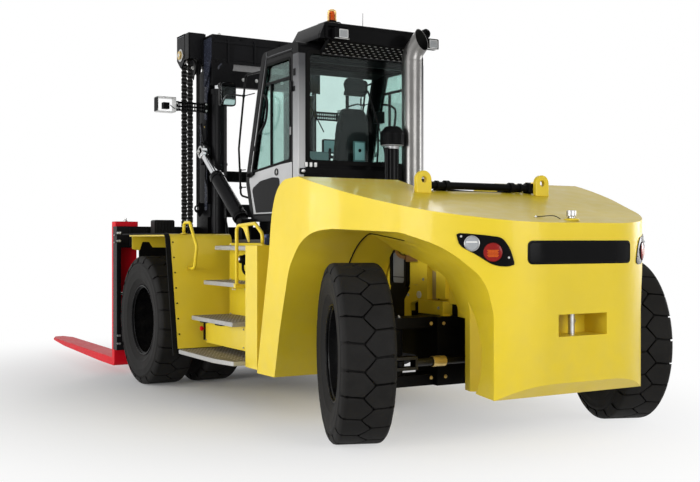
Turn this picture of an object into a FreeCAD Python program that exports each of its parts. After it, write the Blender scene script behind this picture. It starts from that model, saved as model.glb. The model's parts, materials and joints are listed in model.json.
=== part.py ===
import FreeCAD, Part
import math
import os

V = FreeCAD.Vector

# Heavy forklift. Forks point to -Y, the operator's left is +X, +Z is up, Z = 0 is the floor.
# All sizes are in millimetres.

# ---------------------------------------------------------------- driving dimensions
WHEELBASE = 4700.0
LOAD_DISTANCE = 1300.0      # drive axle to the front face of the fork shanks
FORK_LENGTH = 3450.0
REAR_OVERHANG = 1240.0      # steer axle to the rearmost point of the counterweight
OVERALL_LENGTH = FORK_LENGTH + LOAD_DISTANCE + WHEELBASE + REAR_OVERHANG
Y_DRIVE = -OVERALL_LENGTH / 2 + FORK_LENGTH + LOAD_DISTANCE
Y_STEER = Y_DRIVE + WHEELBASE
Y_REAR = OVERALL_LENGTH / 2

CLEAR = 0.3                 # seat clearance between curved or fitted faces
GAP = 6.0                   # clearance round doors, lids and other moving panels

# wheels: 18.00-25 tyres
TYRE_RADIUS = 815.0
TYRE_WIDTH = 490.0
TREAD_WIDTH = 410.0
BEAD_RADIUS = 450.0
BEAD_WIDTH = 380.0
DRIVE_HALF_WIDTH = 1985.0   # outer face of the outer drive tyre
DUAL_SPACING = 670.0
DRIVE_TUBE_HALF = 170.0
BOWL_R, BOWL_HALF = 330.0, 230.0
STEER_HALF_TRACK = 1525.0
RIM_WALL = 22.0
STUB_R = 120.0              # drive axle's stub
SPINDLE_R = 75.0            # steered wheel's spindle

# body
BODY_HALF = 1750.0
BODY_BOTTOM = 470.0
DECK_REAR_Z = 1986.0        # deck height at the rear edge
DECK_TOP_Z = 2440.0         # deck height at its crest
Y_SEAM = Y_STEER + 300.0     # joint between counterweight and rear fenders
Y_CREST = Y_STEER - 750.0
ARCH_TOP_Z = 1940.0
WELL_HALF = 620.0           # half width of the hood well between the fenders
Y_WELL_REAR = Y_STEER - 250.0
FENDER_FOOT_Y = Y_STEER - 1660.0

# frame and axles
MAST_HALF = 800.0
FRAME_HALF = MAST_HALF - 240.0
RAIL_WIDTH = 120.0
RAIL_Z0, RAIL_Z1 = 700.0, 1250.0
FRAME_FRONT = Y_DRIVE - 400.0
FRAME_REAR = Y_STEER + 420.0
DECK_Z = 1840.0
DECK_PLATE = 40.0
ENGINE_HALF = FRAME_HALF - RAIL_WIDTH - CLEAR
ENGINE_Y0, ENGINE_Y1, ENGINE_TOP = Y_DRIVE + 2250.0, Y_STEER - 1000.0, 2050.0
STEP_RECESS_X = 1270.0
STEP_COLUMN_Y = Y_DRIVE + 2740.0
COLUMN_TOP = 1780.0
STEP_Y0 = Y_DRIVE + 1290.0
RAIL_R = 19.0
FRONT_RAIL_X, REAR_RAIL_X = 1725.0, 1650.0
REAR_RAIL_Y, RAIL_FOOT_Z = Y_DRIVE + 2305.0, 1350.0
FRONT_WALL_TOP_Y = Y_DRIVE + 970.0
FRONT_WALL_FOOT_Y = Y_DRIVE + 1230.0
FRONT_FENDER_FRONT = Y_DRIVE - 560.0
FRONT_FENDER_INNER = 1130.0
FRONT_FENDER_OUTER = 1925.0
FRONT_FENDER_TOP = 1910.0
FENDER_FOOT_Z = 560.0
FENDER_PLATE = 30.0

# mast
MAST_Y0, MAST_Y1 = Y_DRIVE - 1000.0, Y_DRIVE - 600.0
MAST_BOTTOM, MAST_TOP = 300.0, 4190.0
CHANNEL_WEB = 45.0
CHANNEL_LIP = 140.0
INNER_WEB, INNER_LIP = 42.0, 200.0
ROLLER_GAP = 10.0
INNER_BOTTOM, INNER_TOP = 330.0, 4640.0
CROSSHEAD_Z0 = 4250.0
PIVOT_Y, PIVOT_Z = Y_DRIVE - 540.0, 620.0
PIVOT_R, PIVOT_EAR_R = 50.0, 75.0
FOOT_BEAM_Z = (330.0, 450.0)
CARRIAGE_ARM_REACH = 125.0  # carriage arms stop this far in front of the mast's rear face
LIFT_STROKE = 2000.0        # inner mast; the carriage travels the same again
CYLINDER_X, CYLINDER_Y = MAST_HALF - 120.0, Y_DRIVE - 470.0
FRAME_EAR_X = (CYLINDER_X - 300.0, CYLINDER_X - 210.0)
MAST_EAR_X = (CYLINDER_X - 200.0, CYLINDER_X - 130.0)
CYLINDER_R, LIFT_ROD_R = 105.0, 72.0
CYLINDER_BOTTOM, CYLINDER_TOP = 380.0, 3900.0
CHAIN_X = 955.0
SHEAVE_R, SHEAVE_WIDTH = 112.0, 120.0
SHEAVE_Y, SHEAVE_Z = Y_DRIVE - 975.0, 4420.0
CHAIN_WIDTH, CHAIN_THICK = 80.0, 34.0
ANCHOR_Z = 1770.0           # foot of the chain's rear leg, on the outer mast
PIN_R = 30.0                # sheave pins

# carriage and forks
CARRIAGE_HALF = 1950.0
CARRIAGE_DEPTH = 160.0
CARRIAGE_Z0, CARRIAGE_Z1 = 330.0, 2020.0
BEAM_HEIGHT = 290.0
FORK_WIDTH = 320.0
FORK_THICK = 110.0
FORK_UNDER_Z = 100.0
FORK_HOOK = 55.0            # reach of the hook over the carriage's top beam
FORK_TOP_Z = 2090.0
FORK_OUTER_X = 1935.0
FORK_FACE_Y = Y_DRIVE - LOAD_DISTANCE
CARRIAGE_Y0 = FORK_FACE_Y + FORK_THICK + CLEAR
CARRIAGE_Y1 = CARRIAGE_Y0 + CARRIAGE_DEPTH

# tilt cylinders
TILT_X = 900.0
TILT_BASE_Y, TILT_BASE_Z = Y_DRIVE + 850.0, 2030.0
TILT_EYE_Y, TILT_EYE_Z = Y_DRIVE - 540.0, 3040.0
TILT_BARREL_R, TILT_ROD_R = 92.0, 48.0
TILT_BARREL_LENGTH = 1110.0
TILT_PIN_R = 45.0
TILT_EYE_HALF = 38.0        # half width of the barrel's base eye
TILT_EYE_R = 80.0
TILT_NECK = 120.0           # base pin to the start of the barrel
TILT_ROD_PIN_R = 37.0
TILT_ROD_START = 620.0      # base pin to the rod's inner end, cylinder at rest
TILT_ROD_PLAY = 22.0        # the rod's eye is open round the mast's pin

# cab
CAB_HALF = 860.0
CAB_WALL = 45.0
CAB_FLOOR_Z = 2060.0
CAB_WAIST_Y, CAB_WAIST_Z = Y_DRIVE + 800.0, 2580.0
CAB_FOOT_Y = Y_DRIVE + 975.0
CAB_BROW_Y, CAB_TOP_Z = Y_DRIVE + 1290.0, 4110.0
CAB_REAR_Y = Y_DRIVE + 2240.0
GLASS = 6.0
DOOR_POST_Y = Y_DRIVE + 2110.0
DOOR_AXIS_X = CAB_HALF + 15.0
DOOR_HINGE_Z = (2420.0, 3600.0)

# steering
KINGPIN_X = 1180.0
KINGPIN_R = 55.0
STEER_REST_DEG = -20.5      # the steered wheels stand turned
STEER_LOCK_DEG = 48.0
STEER_ARM = 320.0
ROD_OFFSET = STEER_ARM * math.cos(math.radians(STEER_REST_DEG))
ROD_SHIFT = -STEER_ARM * math.sin(math.radians(STEER_REST_DEG))
AXLE_Z = TYRE_RADIUS
AXLE_HALF_DEPTH = 180.0
POST_HEIGHT = 90.0          # steer axle's mounting posts above the beam
YOKE_Z0, YOKE_Z1 = AXLE_Z - 315.0, AXLE_Z + 315.0
YOKE_PLATE = 100.0
ROD_Z = AXLE_Z - 70.0
STEER_ROD_R = 36.0

# behind the cab
HOOD_Y0, HOOD_Y1 = Y_DRIVE + 2860.0, Y_STEER - 300.0
HOOD_Z0, HOOD_Z1 = 2130.0, 2275.0
HOOD_HALF = 590.0
HINGE_Y, HINGE_Z, HINGE_R = Y_STEER - 230.0, 2365.0, 36.0
HINGE_EYE_R = 50.0
STACK_X, STACK_Y, STACK_R = -440.0, Y_DRIVE + 2600.0, 98.0
CLEANER_X = -180.0
BRIDGE_Z = 2250.0           # top of the bridge that carries the stack and the air cleaner
EYE_X, EYE_Y, EYE_Z = 728.0, Y_STEER - 148.0, 2410.0
EYE_R, EYE_THICK = 85.0, 50.0
LIFT_HOLE_R = 30.0
TOW_PIN_R = 29.0

# cab fittings
COLUMN_AXIS = (0, 0.42, 0.91)
COLUMN_LENGTH = 275.0
COLUMN_FOOT_Y, COLUMN_FOOT_Z = Y_DRIVE + 1110.0, CAB_FLOOR_Z + CAB_WALL + 520.0


# ---------------------------------------------------------------- shape helpers
def box(x0, x1, y0, y1, z0, z1):
    return Part.makeBox(x1 - x0, y1 - y0, z1 - z0, V(x0, y0, z0))


def cyl(centre, axis, radius, length):
    return Part.makeCylinder(radius, length, V(*centre), V(*axis))


def fuse(*shapes):
    whole = shapes[0]
    for shape in shapes[1:]:
        whole = whole.fuse(shape)
    return whole.removeSplitter()


def mirrored(shape):
    return shape.mirror(V(0, 0, 0), V(1, 0, 0))


def pair(shape):
    """A left piece and its right-hand twin."""
    return Part.makeCompound([shape, mirrored(shape)])


def corner_wire(points, place):
    """Closed wire through points (u, v) or (u, v, corner radius); place maps (u, v) to space."""
    count = len(points)
    cut = []
    for i, point in enumerate(points):
        here = V(point[0], point[1], 0)
        before = V(points[i - 1][0], points[i - 1][1], 0) - here
        after = V(points[(i + 1) % count][0], points[(i + 1) % count][1], 0) - here
        radius = point[2] if len(point) > 2 else 0.0
        if radius <= 0:
            cut.append((here, here, here))
            continue
        half = before.getAngle(after) / 2
        reach = radius / math.tan(half)
        start = here + before.normalize() * reach
        end = here + after.normalize() * reach
        inward = ((start + end) * 0.5 - here).normalize()
        centre = here + inward * (radius / math.sin(half))
        cut.append((start, centre - inward * radius, end))
    edges = []
    for i in range(count):
        start, middle, end = cut[i]
        if (end - start).Length > 1e-6:
            edges.append(Part.Arc(place(start), place(middle), place(end)).toShape())
        following = cut[(i + 1) % count][0]
        if (following - end).Length > 1e-6:
            edges.append(Part.LineSegment(place(end), place(following)).toShape())
    return Part.Wire(edges)


def slab_x(points, x0, x1):
    """Outline in (y, z) run from x0 to x1."""
    wire = corner_wire(points, lambda p: V(x0, p.x, p.y))
    return Part.Face(wire).extrude(V(x1 - x0, 0, 0))


def slab_y(points, y0, y1):
    """Outline in (x, z) run from y0 to y1."""
    wire = corner_wire(points, lambda p: V(p.x, y0, p.y))
    return Part.Face(wire).extrude(V(0, y1 - y0, 0))


def slab_z(points, z0, z1):
    """Outline in (x, y) run from z0 to z1."""
    wire = corner_wire(points, lambda p: V(p.x, p.y, z0))
    return Part.Face(wire).extrude(V(0, 0, z1 - z0))


def tube_path(points, radius, bend):
    """Round bar along straight runs joined by arcs of radius bend."""
    pts = [V(*p) for p in points]
    edges = []
    start = pts[0]
    for i in range(1, len(pts) - 1):
        back = (pts[i - 1] - pts[i]).normalize()
        ahead = (pts[i + 1] - pts[i]).normalize()
        half = back.getAngle(ahead) / 2
        reach = bend / math.tan(half)
        a, b = pts[i] + back * reach, pts[i] + ahead * reach
        inward = ((a + b) * 0.5 - pts[i]).normalize()
        middle = pts[i] + inward * (bend / math.sin(half) - bend)
        edges.append(Part.LineSegment(start, a).toShape())
        edges.append(Part.Arc(a, middle, b).toShape())
        start = b
    edges.append(Part.LineSegment(start, pts[-1]).toShape())
    path = Part.Wire(edges)
    profile = Part.Wire([Part.Circle(pts[0], pts[1] - pts[0], radius).toShape()])
    return path.makePipeShell([profile], True, True)


def turned(points, x_centre, y_centre, z_centre):
    """Solid of revolution about a line along X; points are (x from the centre, radius)."""
    outline = [V(x_centre + p[0], y_centre, z_centre + p[1]) for p in points]
    face = Part.Face(Part.makePolygon(outline + [outline[0]]))
    return face.revolve(V(x_centre, y_centre, z_centre), V(1, 0, 0), 360)


def steered(shape, side=1):
    """Turns a piece about the kingpin on one side to its standing angle."""
    copy = shape.copy()
    copy.rotate(V(side * KINGPIN_X, Y_STEER, 0), V(0, 0, 1), STEER_REST_DEG)
    return copy


# ---------------------------------------------------------------- wheels
def tyre(x_centre, y_centre):
    half, tread, bead = TYRE_WIDTH / 2, TREAD_WIDTH / 2, BEAD_WIDTH / 2
    shoulder = TYRE_RADIUS - 22
    belly = (TYRE_RADIUS + BEAD_RADIUS) / 2 + 40
    inner = BEAD_RADIUS + CLEAR
    side = [(tread, TYRE_RADIUS), (tread + 24, shoulder), (half - 4, belly + 60), (half, belly),
            (half - 8, belly - 80), (bead + 18, inner + 40), (bead, inner)]
    points = side + [(-x, r) for x, r in reversed(side)]
    return turned(points, x_centre, y_centre, AXLE_Z)


def rim_barrel(x0, x1, y_centre):
    length = x1 - x0
    at = (x0, y_centre, AXLE_Z)
    return cyl(at, (1, 0, 0), BEAD_RADIUS, length).cut(cyl(at, (1, 0, 0), BEAD_RADIUS - RIM_WALL, length))


def drive_hub():
    """Twin rims on one planetary hub, left side."""
    outer = DRIVE_HALF_WIDTH - TYRE_WIDTH / 2
    inner = outer - DUAL_SPACING
    x0, x1 = inner - BEAD_WIDTH / 2, outer + BEAD_WIDTH / 2
    barrel = rim_barrel(x0, x1, Y_DRIVE)
    disc = cyl((inner + 60, Y_DRIVE, AXLE_Z), (1, 0, 0), BEAD_RADIUS - RIM_WALL / 2, 40)
    hub = cyl((x0 - 10, Y_DRIVE, AXLE_Z), (1, 0, 0), 250, 560)
    cap = cyl((x0 + 550, Y_DRIVE, AXLE_Z), (1, 0, 0), 170, 60)
    bore = cyl((x0 - 10, Y_DRIVE, AXLE_Z), (1, 0, 0), STUB_R + CLEAR, 200)
    return fuse(barrel, disc, hub, cap).cut(bore)


def drive_wheels():
    outer = DRIVE_HALF_WIDTH - TYRE_WIDTH / 2
    tyres = Part.makeCompound([tyre(outer, Y_DRIVE), tyre(outer - DUAL_SPACING, Y_DRIVE)])
    return tyres, drive_hub()


def steer_hub(side):
    """Single rim on the knuckle's spindle, straight ahead; side is 1 left, -1 right."""
    centre = STEER_HALF_TRACK
    x0, x1 = centre - BEAD_WIDTH / 2, centre + BEAD_WIDTH / 2
    barrel = rim_barrel(x0, x1, Y_STEER)
    disc = cyl((centre + 5, Y_STEER, AXLE_Z), (1, 0, 0), BEAD_RADIUS - RIM_WALL / 2, 36)
    hub = cyl((centre - 115, Y_STEER, AXLE_Z), (1, 0, 0), 165, 250)
    bore = cyl((centre - 115, Y_STEER, AXLE_Z), (1, 0, 0), SPINDLE_R + CLEAR, 200)
    whole = fuse(barrel, disc, hub).cut(bore)
    return whole if side > 0 else mirrored(whole)


def knuckle(side):
    """Kingpin post, spindle and steering arm of one steered wheel."""
    post_z0, post_z1 = YOKE_Z0 + YOKE_PLATE + GAP, YOKE_Z1 - YOKE_PLATE - GAP
    post = cyl((KINGPIN_X, Y_STEER, post_z0), (0, 0, 1), 105, post_z1 - post_z0)
    pin = cyl((KINGPIN_X, Y_STEER, YOKE_Z0 - 10), (0, 0, 1), KINGPIN_R, YOKE_Z1 - YOKE_Z0 + 20)
    spindle = cyl((KINGPIN_X, Y_STEER, AXLE_Z), (1, 0, 0), SPINDLE_R, STEER_HALF_TRACK + 70 - KINGPIN_X)
    flange = cyl((KINGPIN_X + 60, Y_STEER, AXLE_Z), (1, 0, 0), 150, 80)
    arm = box(KINGPIN_X - 50, KINGPIN_X + 50, Y_STEER, Y_STEER + STEER_ARM, ROD_Z - 22, ROD_Z + 22)
    eye = cyl((KINGPIN_X, Y_STEER + STEER_ARM, ROD_Z - 22), (0, 0, 1), 50, 44)
    whole = fuse(post, pin, spindle, flange, arm, eye)
    return whole if side > 0 else mirrored(whole)


# ---------------------------------------------------------------- axles and frame
def drive_axle():
    reach = DRIVE_HALF_WIDTH - TYRE_WIDTH - DUAL_SPACING - 20
    half = DRIVE_TUBE_HALF
    tube = box(-reach, reach, Y_DRIVE - half, Y_DRIVE + half, AXLE_Z - half, AXLE_Z + half)
    bowl = cyl((-BOWL_HALF, Y_DRIVE, AXLE_Z), (1, 0, 0), BOWL_R, 2 * BOWL_HALF)
    stub_length = 130
    stubs = [cyl((s * reach, Y_DRIVE, AXLE_Z), (s, 0, 0), STUB_R, stub_length) for s in (1, -1)]
    return fuse(tube, bowl, *stubs)


def steer_axle():
    """Box beam with a fork at each end round the kingpin, and the fixed steering cylinder."""
    beam_end = KINGPIN_X - 390
    beam = box(-beam_end, beam_end, Y_STEER - AXLE_HALF_DEPTH, Y_STEER + AXLE_HALF_DEPTH,
               YOKE_Z0, YOKE_Z1)
    plates = []
    for side in (1, -1):
        for z in (YOKE_Z0, YOKE_Z1 - YOKE_PLATE):
            x0, x1 = sorted((side * (beam_end - 40), side * (KINGPIN_X + 20)))
            plates.append(box(x0, x1, Y_STEER - 110, Y_STEER + 110, z, z + YOKE_PLATE))
            plates.append(cyl((side * KINGPIN_X, Y_STEER, z), (0, 0, 1), 112, YOKE_PLATE))
    cradle = box(-300, 300, Y_STEER + 100, Y_STEER + 300, ROD_Z - 60, ROD_Z + 60)
    barrel = cyl((-290, Y_STEER + ROD_OFFSET, ROD_Z), (1, 0, 0), 88, 580)
    bore = cyl((-300, Y_STEER + ROD_OFFSET, ROD_Z), (1, 0, 0), STEER_ROD_R + CLEAR, 600)
    pins = [cyl((s * KINGPIN_X, Y_STEER, YOKE_Z0 - 1), (0, 0, 1), KINGPIN_R + CLEAR, YOKE_Z1)
            for s in (1, -1)]
    mount_posts = [box(x - 60, x + 60, Y_STEER - 150, Y_STEER + 150, YOKE_Z1, YOKE_Z1 + POST_HEIGHT)
                   for x in (-FRAME_HALF + 60, FRAME_HALF - 60)]
    whole = fuse(beam, cradle, barrel, *plates, *mount_posts)
    return whole.cut(bore).cut(pins[0]).cut(pins[1])


def steering_rod():
    """Rod through the steering cylinder with a clevis at each end, open round the arm's eye."""
    y = Y_STEER + ROD_OFFSET
    reach = KINGPIN_X
    rod = cyl((-reach + 160, y, ROD_Z), (1, 0, 0), STEER_ROD_R, 2 * (reach - 160))
    shapes = [rod]
    for side in (1, -1):
        end = side * reach
        x0, x1 = sorted((end - side * 175, end + side * 55))
        b0, b1 = sorted((end - side * 175, end - side * 150))
        shapes.append(box(b0, b1, y - 45, y + 45, ROD_Z - 60, ROD_Z + 60))
        for z in (ROD_Z - 60, ROD_Z + 32):
            shapes.append(box(x0, x1, y - 45, y + 45, z, z + 28))
    whole = fuse(*shapes)
    whole.translate(V(ROD_SHIFT, 0, 0))
    return whole


def chassis_frame():
    rails = [box(s * FRAME_HALF - (RAIL_WIDTH if s > 0 else 0), s * FRAME_HALF + (0 if s > 0 else RAIL_WIDTH),
                 FRAME_FRONT, FRAME_REAR, RAIL_Z0, RAIL_Z1) for s in (1, -1)]
    inner = FRAME_HALF - RAIL_WIDTH
    pieces = []
    # tall side plates carry the deck in front and the fenders and counterweight behind
    for s in (1, -1):
        x0, x1 = sorted((s * inner, s * FRAME_HALF))
        pieces.append(box(x0, x1, Y_DRIVE - 60, Y_DRIVE + 1060, RAIL_Z1 - 20, DECK_Z - DECK_PLATE))
        pieces.append(box(x0, x1, Y_STEER - 300, FRAME_REAR, RAIL_Z1 - 20, ARCH_TOP_Z - 60))
        ear0, ear1 = sorted(s * x for x in FRAME_EAR_X)
        pieces.append(slab_x([(PIVOT_Y - PIVOT_EAR_R, PIVOT_Z - PIVOT_EAR_R, 70),
                              (FRAME_FRONT + 150, PIVOT_Z - PIVOT_EAR_R), (FRAME_FRONT + 150, RAIL_Z1),
                              (FRAME_FRONT, RAIL_Z1), (PIVOT_Y - PIVOT_EAR_R, PIVOT_Z + PIVOT_EAR_R, 70)],
                             ear0, ear1))
        # bracket of the tilt cylinder's base eye, outboard of the rail
        t0, t1 = sorted((s * (FRAME_HALF - 20), s * (TILT_X + 100)))
        pieces.append(box(t0, t1, TILT_BASE_Y - 90, TILT_BASE_Y + 110, 1690, DECK_Z - DECK_PLATE))
    for y, z0, z1 in ((FRAME_FRONT + 40, RAIL_Z0, RAIL_Z1), (Y_DRIVE + 900, RAIL_Z0, RAIL_Z0 + 260),
                      (Y_STEER - 500, RAIL_Z0, RAIL_Z1), (FRAME_REAR - 120, RAIL_Z0, RAIL_Z1)):
        pieces.append(box(-inner - 10, inner + 10, y, y + 120, z0, z1))
    whole = fuse(*rails, *pieces)
    half = DRIVE_TUBE_HALF + CLEAR
    axle = box(-900, 900, Y_DRIVE - half, Y_DRIVE + half, AXLE_Z - 400, AXLE_Z + half)
    bowl = cyl((-BOWL_HALF - 2, Y_DRIVE, AXLE_Z), (1, 0, 0), BOWL_R + 2, 2 * BOWL_HALF + 4)
    steer = box(-1000, 1000, Y_STEER - AXLE_HALF_DEPTH - 2, Y_STEER + 420, 300, YOKE_Z1)
    steer_posts = box(-1000, 1000, Y_STEER - 152, Y_STEER + 152, YOKE_Z1 - 1, YOKE_Z1 + POST_HEIGHT)
    pivot = cyl((-900, PIVOT_Y, PIVOT_Z), (1, 0, 0), PIVOT_R + CLEAR, 1800)
    return whole.cut(axle).cut(bowl).cut(steer).cut(steer_posts).cut(pivot)


def mast_pivot():
    """Shaft through the frame's and the mast's ears."""
    half = MAST_EAR_X[1] + 20
    return cyl((-half, PIVOT_Y, PIVOT_Z), (1, 0, 0), PIVOT_R, 2 * half)


def engine_block():
    return box(-ENGINE_HALF, ENGINE_HALF, ENGINE_Y0, ENGINE_Y1, 800, ENGINE_TOP)


# ---------------------------------------------------------------- body
def half_plan():
    """Rear outline from the middle of the rear face to the straight side, as (x, y from the steered axle)."""
    return [(0, 1240), (600, 1205), (840, 1095), (1100, 860), (1300, 600), (1450, 310),
            (1600, -10), (1700, -350)]


def body_block():
    """The whole closed rear body before the arches and the well are cut."""
    right = [V(-x, Y_STEER + y, 0) for x, y in half_plan()]
    left = [V(x, Y_STEER + y, 0) for x, y in reversed(half_plan()[1:])]
    side_y = Y_CREST
    points = [V(BODY_HALF, side_y, 0)] + left + right + [V(-BODY_HALF, side_y, 0)]
    curve = Part.BSplineCurve()
    curve.interpolate(Points=points, InitialTangent=V(0, 1, 0), FinalTangent=V(0, -1, 0))
    front = FENDER_FOOT_Y - 40
    a, b = V(BODY_HALF, front, 0), V(-BODY_HALF, front, 0)
    wire = Part.Wire([curve.toShape(), Part.LineSegment(points[-1], b).toShape(),
                      Part.LineSegment(b, a).toShape(), Part.LineSegment(a, points[0]).toShape()])
    plan = Part.Face(wire).extrude(V(0, 0, 2600))
    return plan.common(body_profile())


def deck_curve(x):
    """Top line of the rear body in the plane at x, from just past the rear edge up to the crest."""
    points = [V(x, Y_REAR + 60, DECK_REAR_Z - 12), V(x, Y_REAR, DECK_REAR_Z),
              V(x, Y_STEER + 700, DECK_REAR_Z + 100), V(x, Y_STEER + 200, DECK_REAR_Z + 212),
              V(x, Y_STEER - 300, DECK_REAR_Z + 340), V(x, Y_CREST, DECK_TOP_Z)]
    curve = Part.BSplineCurve()
    curve.interpolate(points)
    return curve


def deck_height(y):
    """Height of the deck's surface at one place along the truck."""
    upright = Part.makeLine(V(0, y, 0), V(0, y, 4000))
    return deck_curve(0).toShape().distToShape(upright)[1][0][0].z


def body_profile():
    """Side view of the rear body run across the width."""
    y = Y_STEER
    x = BODY_HALF + 50
    slope = deck_curve(-x)
    rear, crest = slope.StartPoint, slope.EndPoint
    front = [V(-x, y - 1000, DECK_TOP_Z - 12), V(-x, y - 1200, 2320), V(-x, y - 1310, 2100),
             V(-x, y - 1380, 1680), V(-x, FENDER_FOOT_Y, BODY_BOTTOM)]
    nose = Part.BSplineCurve()
    nose.interpolate(front[:4])
    floor = [front[4], V(-x, Y_REAR - 150, BODY_BOTTOM + 20), V(-x, Y_REAR + 60, BODY_BOTTOM + 190), rear]
    edges = [slope.toShape(), Part.LineSegment(crest, front[0]).toShape(), nose.toShape(),
             Part.LineSegment(front[3], front[4]).toShape()]
    edges += [Part.LineSegment(floor[i], floor[i + 1]).toShape() for i in range(3)]
    return Part.Face(Part.Wire(edges)).extrude(V(2 * x, 0, 0))


def wheel_arch():
    """Space round the left steered wheel: a long arch from the front wall out through the rear."""
    y = Y_STEER
    side = [(y - 1280, BODY_BOTTOM - 100), (y - 1140, 940, 900), (y - 940, 1560, 420),
            (y - 640, ARCH_TOP_Z - 30, 700), (y - 200, ARCH_TOP_Z, 0), (y + 1700, ARCH_TOP_Z),
            (y + 1700, BODY_BOTTOM - 100)]
    across = slab_x(side, FRAME_HALF + 30, BODY_HALF + 200)
    slant = V(-0.30, -1.0, 0)
    rear_y = Y_REAR + 60
    bell = [(920, 300), (920, 1210, 300), (985, 1500, 420), (1300, 1770, 900), (1640, 1905, 300),
            (2600, ARCH_TOP_Z + 30), (2600, 300)]
    wire = corner_wire(bell, lambda p: V(p.x, rear_y, p.y))
    along = Part.Face(wire).extrude(slant * 3000)
    return across.common(along)


def tyre_room():
    """Space that the left steered tyre fills near its inward lock, cut from the body beside the arch."""
    room = []
    for angle in (STEER_LOCK_DEG, STEER_LOCK_DEG - 5):
        wheel = cyl((STEER_HALF_TRACK - TYRE_WIDTH / 2 - 25, Y_STEER, AXLE_Z), (1, 0, 0), TYRE_RADIUS + 35,
                    TYRE_WIDTH + 50)
        wheel.rotate(V(KINGPIN_X, Y_STEER, 0), V(0, 0, 1), angle)
        room.append(wheel)
    return fuse(*room)


def rear_body():
    """Counterweight and rear fenders from one block, split at the seam."""
    block = body_block()
    arch = wheel_arch()
    room = tyre_room()
    block = block.cut(arch).cut(mirrored(arch)).cut(room).cut(mirrored(room))
    well = box(-WELL_HALF, WELL_HALF, FENDER_FOOT_Y - 140, Y_WELL_REAR, 0, 3000)
    axle_bay = box(-FRAME_HALF - 40, FRAME_HALF + 40, FENDER_FOOT_Y - 140, FRAME_REAR + CLEAR, 0,
                   ARCH_TOP_Z - 60)
    rod_half = KINGPIN_X - 460
    rod_bay = box(-rod_half, rod_half, FENDER_FOOT_Y - 140, FRAME_REAR + CLEAR, 0, YOKE_Z1)
    block = block.cut(well).cut(axle_bay).cut(rod_bay)
    pocket = box(-280, 280, Y_REAR - 280, Y_REAR + 50, 1010, 1200)
    pin_bore = cyl((0, Y_REAR - 150, 800), (0, 0, 1), TOW_PIN_R + CLEAR, 500)
    stem_bore = cyl((0, Y_REAR - 150, 1100), (0, 0, 1), TOW_PIN_R + CLEAR, 1000)
    rear = box(-2000, 2000, Y_SEAM, Y_REAR, 0, 3000)
    middle = box(-WELL_HALF, WELL_HALF, FENDER_FOOT_Y - 140, Y_SEAM + 1, 0, 3000)
    counterweight = block.common(rear.fuse(middle)).cut(pocket).cut(pin_bore).cut(stem_bore)
    front_left = box(WELL_HALF, 2000, FENDER_FOOT_Y - 140, Y_SEAM, 0, 3000)
    left = block.common(front_left)
    return counterweight, Part.makeCompound([left, mirrored(left)])


def lifting_eyes():
    """Plates with a round top and a hole, standing on the deck."""
    front, back = EYE_Y - EYE_THICK / 2, EYE_Y + EYE_THICK / 2
    foot = [(front, deck_height(front) + CLEAR), (front, EYE_Z), (back, EYE_Z),
            (back, deck_height(back) + CLEAR)]
    plate = slab_x(foot, EYE_X - EYE_R, EYE_X + EYE_R)
    head = cyl((EYE_X, front, EYE_Z), (0, 1, 0), EYE_R, EYE_THICK)
    hole = cyl((EYE_X, front - 5, EYE_Z), (0, 1, 0), LIFT_HOLE_R, EYE_THICK + 10)
    return pair(fuse(plate, head).cut(hole))


def tow_pin():
    """Drop-in pin with its stem up through the deck."""
    y = Y_REAR - 150
    return fuse(cyl((0, y, 860), (0, 0, 1), TOW_PIN_R, DECK_REAR_Z - 860 + 110),
                cyl((0, y, DECK_REAR_Z + 60), (0, 0, 1), 42, 50))


# ---------------------------------------------------------------- front fenders, steps and rails
def wall_y(z):
    """Where the outer face of the slanting wall behind the drive wheels lies at height z."""
    fall = (FRONT_FENDER_TOP - z) / (FRONT_FENDER_TOP - FENDER_FOOT_Z)
    return FRONT_WALL_TOP_Y + fall * (FRONT_WALL_FOOT_Y - FRONT_WALL_TOP_Y)


def front_fender():
    """Left front fender: top plate, its inner web and the slanting wall behind the drive wheels."""
    y0, y1 = FRONT_FENDER_FRONT, FRONT_WALL_TOP_Y
    foot = FRONT_WALL_FOOT_Y
    t, top = FENDER_PLATE, FRONT_FENDER_TOP
    points = [(y0, top), (y1, top, 90), (foot, FENDER_FOOT_Z), (foot - t, FENDER_FOOT_Z),
              (y1 - t - 2, top - t, 62), (y0, top - t)]
    web = box(FRONT_FENDER_INNER, FRONT_FENDER_INNER + 12, Y_DRIVE - 40, y1 - t - 40, DECK_Z - DECK_PLATE,
              top - 1)
    return fuse(slab_x(points, FRONT_FENDER_INNER, FRONT_FENDER_OUTER), web)


def mudguard():
    """Rubber strip outboard of the left front fender."""
    y0, y1 = FRONT_FENDER_FRONT - 120, FRONT_WALL_TOP_Y
    foot = FRONT_WALL_FOOT_Y
    top = FRONT_FENDER_TOP + 8
    points = [(y0, top), (y1 + 4, top, 94), (foot + 18, 480), (foot - 2, 480), (y1 - 16, top - 18, 76),
              (y0, top - 18)]
    return slab_x(points, FRONT_FENDER_OUTER + CLEAR, DRIVE_HALF_WIDTH)


def step_housing():
    """Left side box behind the steps, with the rear column, battery box and rail bracket."""
    y0, y1 = FRONT_WALL_FOOT_Y + 2, FENDER_FOOT_Y - 10
    deck_under = DECK_Z - DECK_PLATE
    back = box(FRAME_HALF + CLEAR, STEP_RECESS_X, y0, y1, 640, deck_under)
    column = box(STEP_RECESS_X - 40, BODY_HALF - 4, STEP_COLUMN_Y, y1, 500, COLUMN_TOP)
    battery = box(STEP_RECESS_X - 10, 1600, STEP_Y0, Y_DRIVE + 2420, 625, 900)
    bracket = box(STEP_RECESS_X - 10, REAR_RAIL_X + 30, REAR_RAIL_Y - 20, REAR_RAIL_Y + 30, 1310, RAIL_FOOT_Z)
    return fuse(back, column, battery, bracket)


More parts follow.
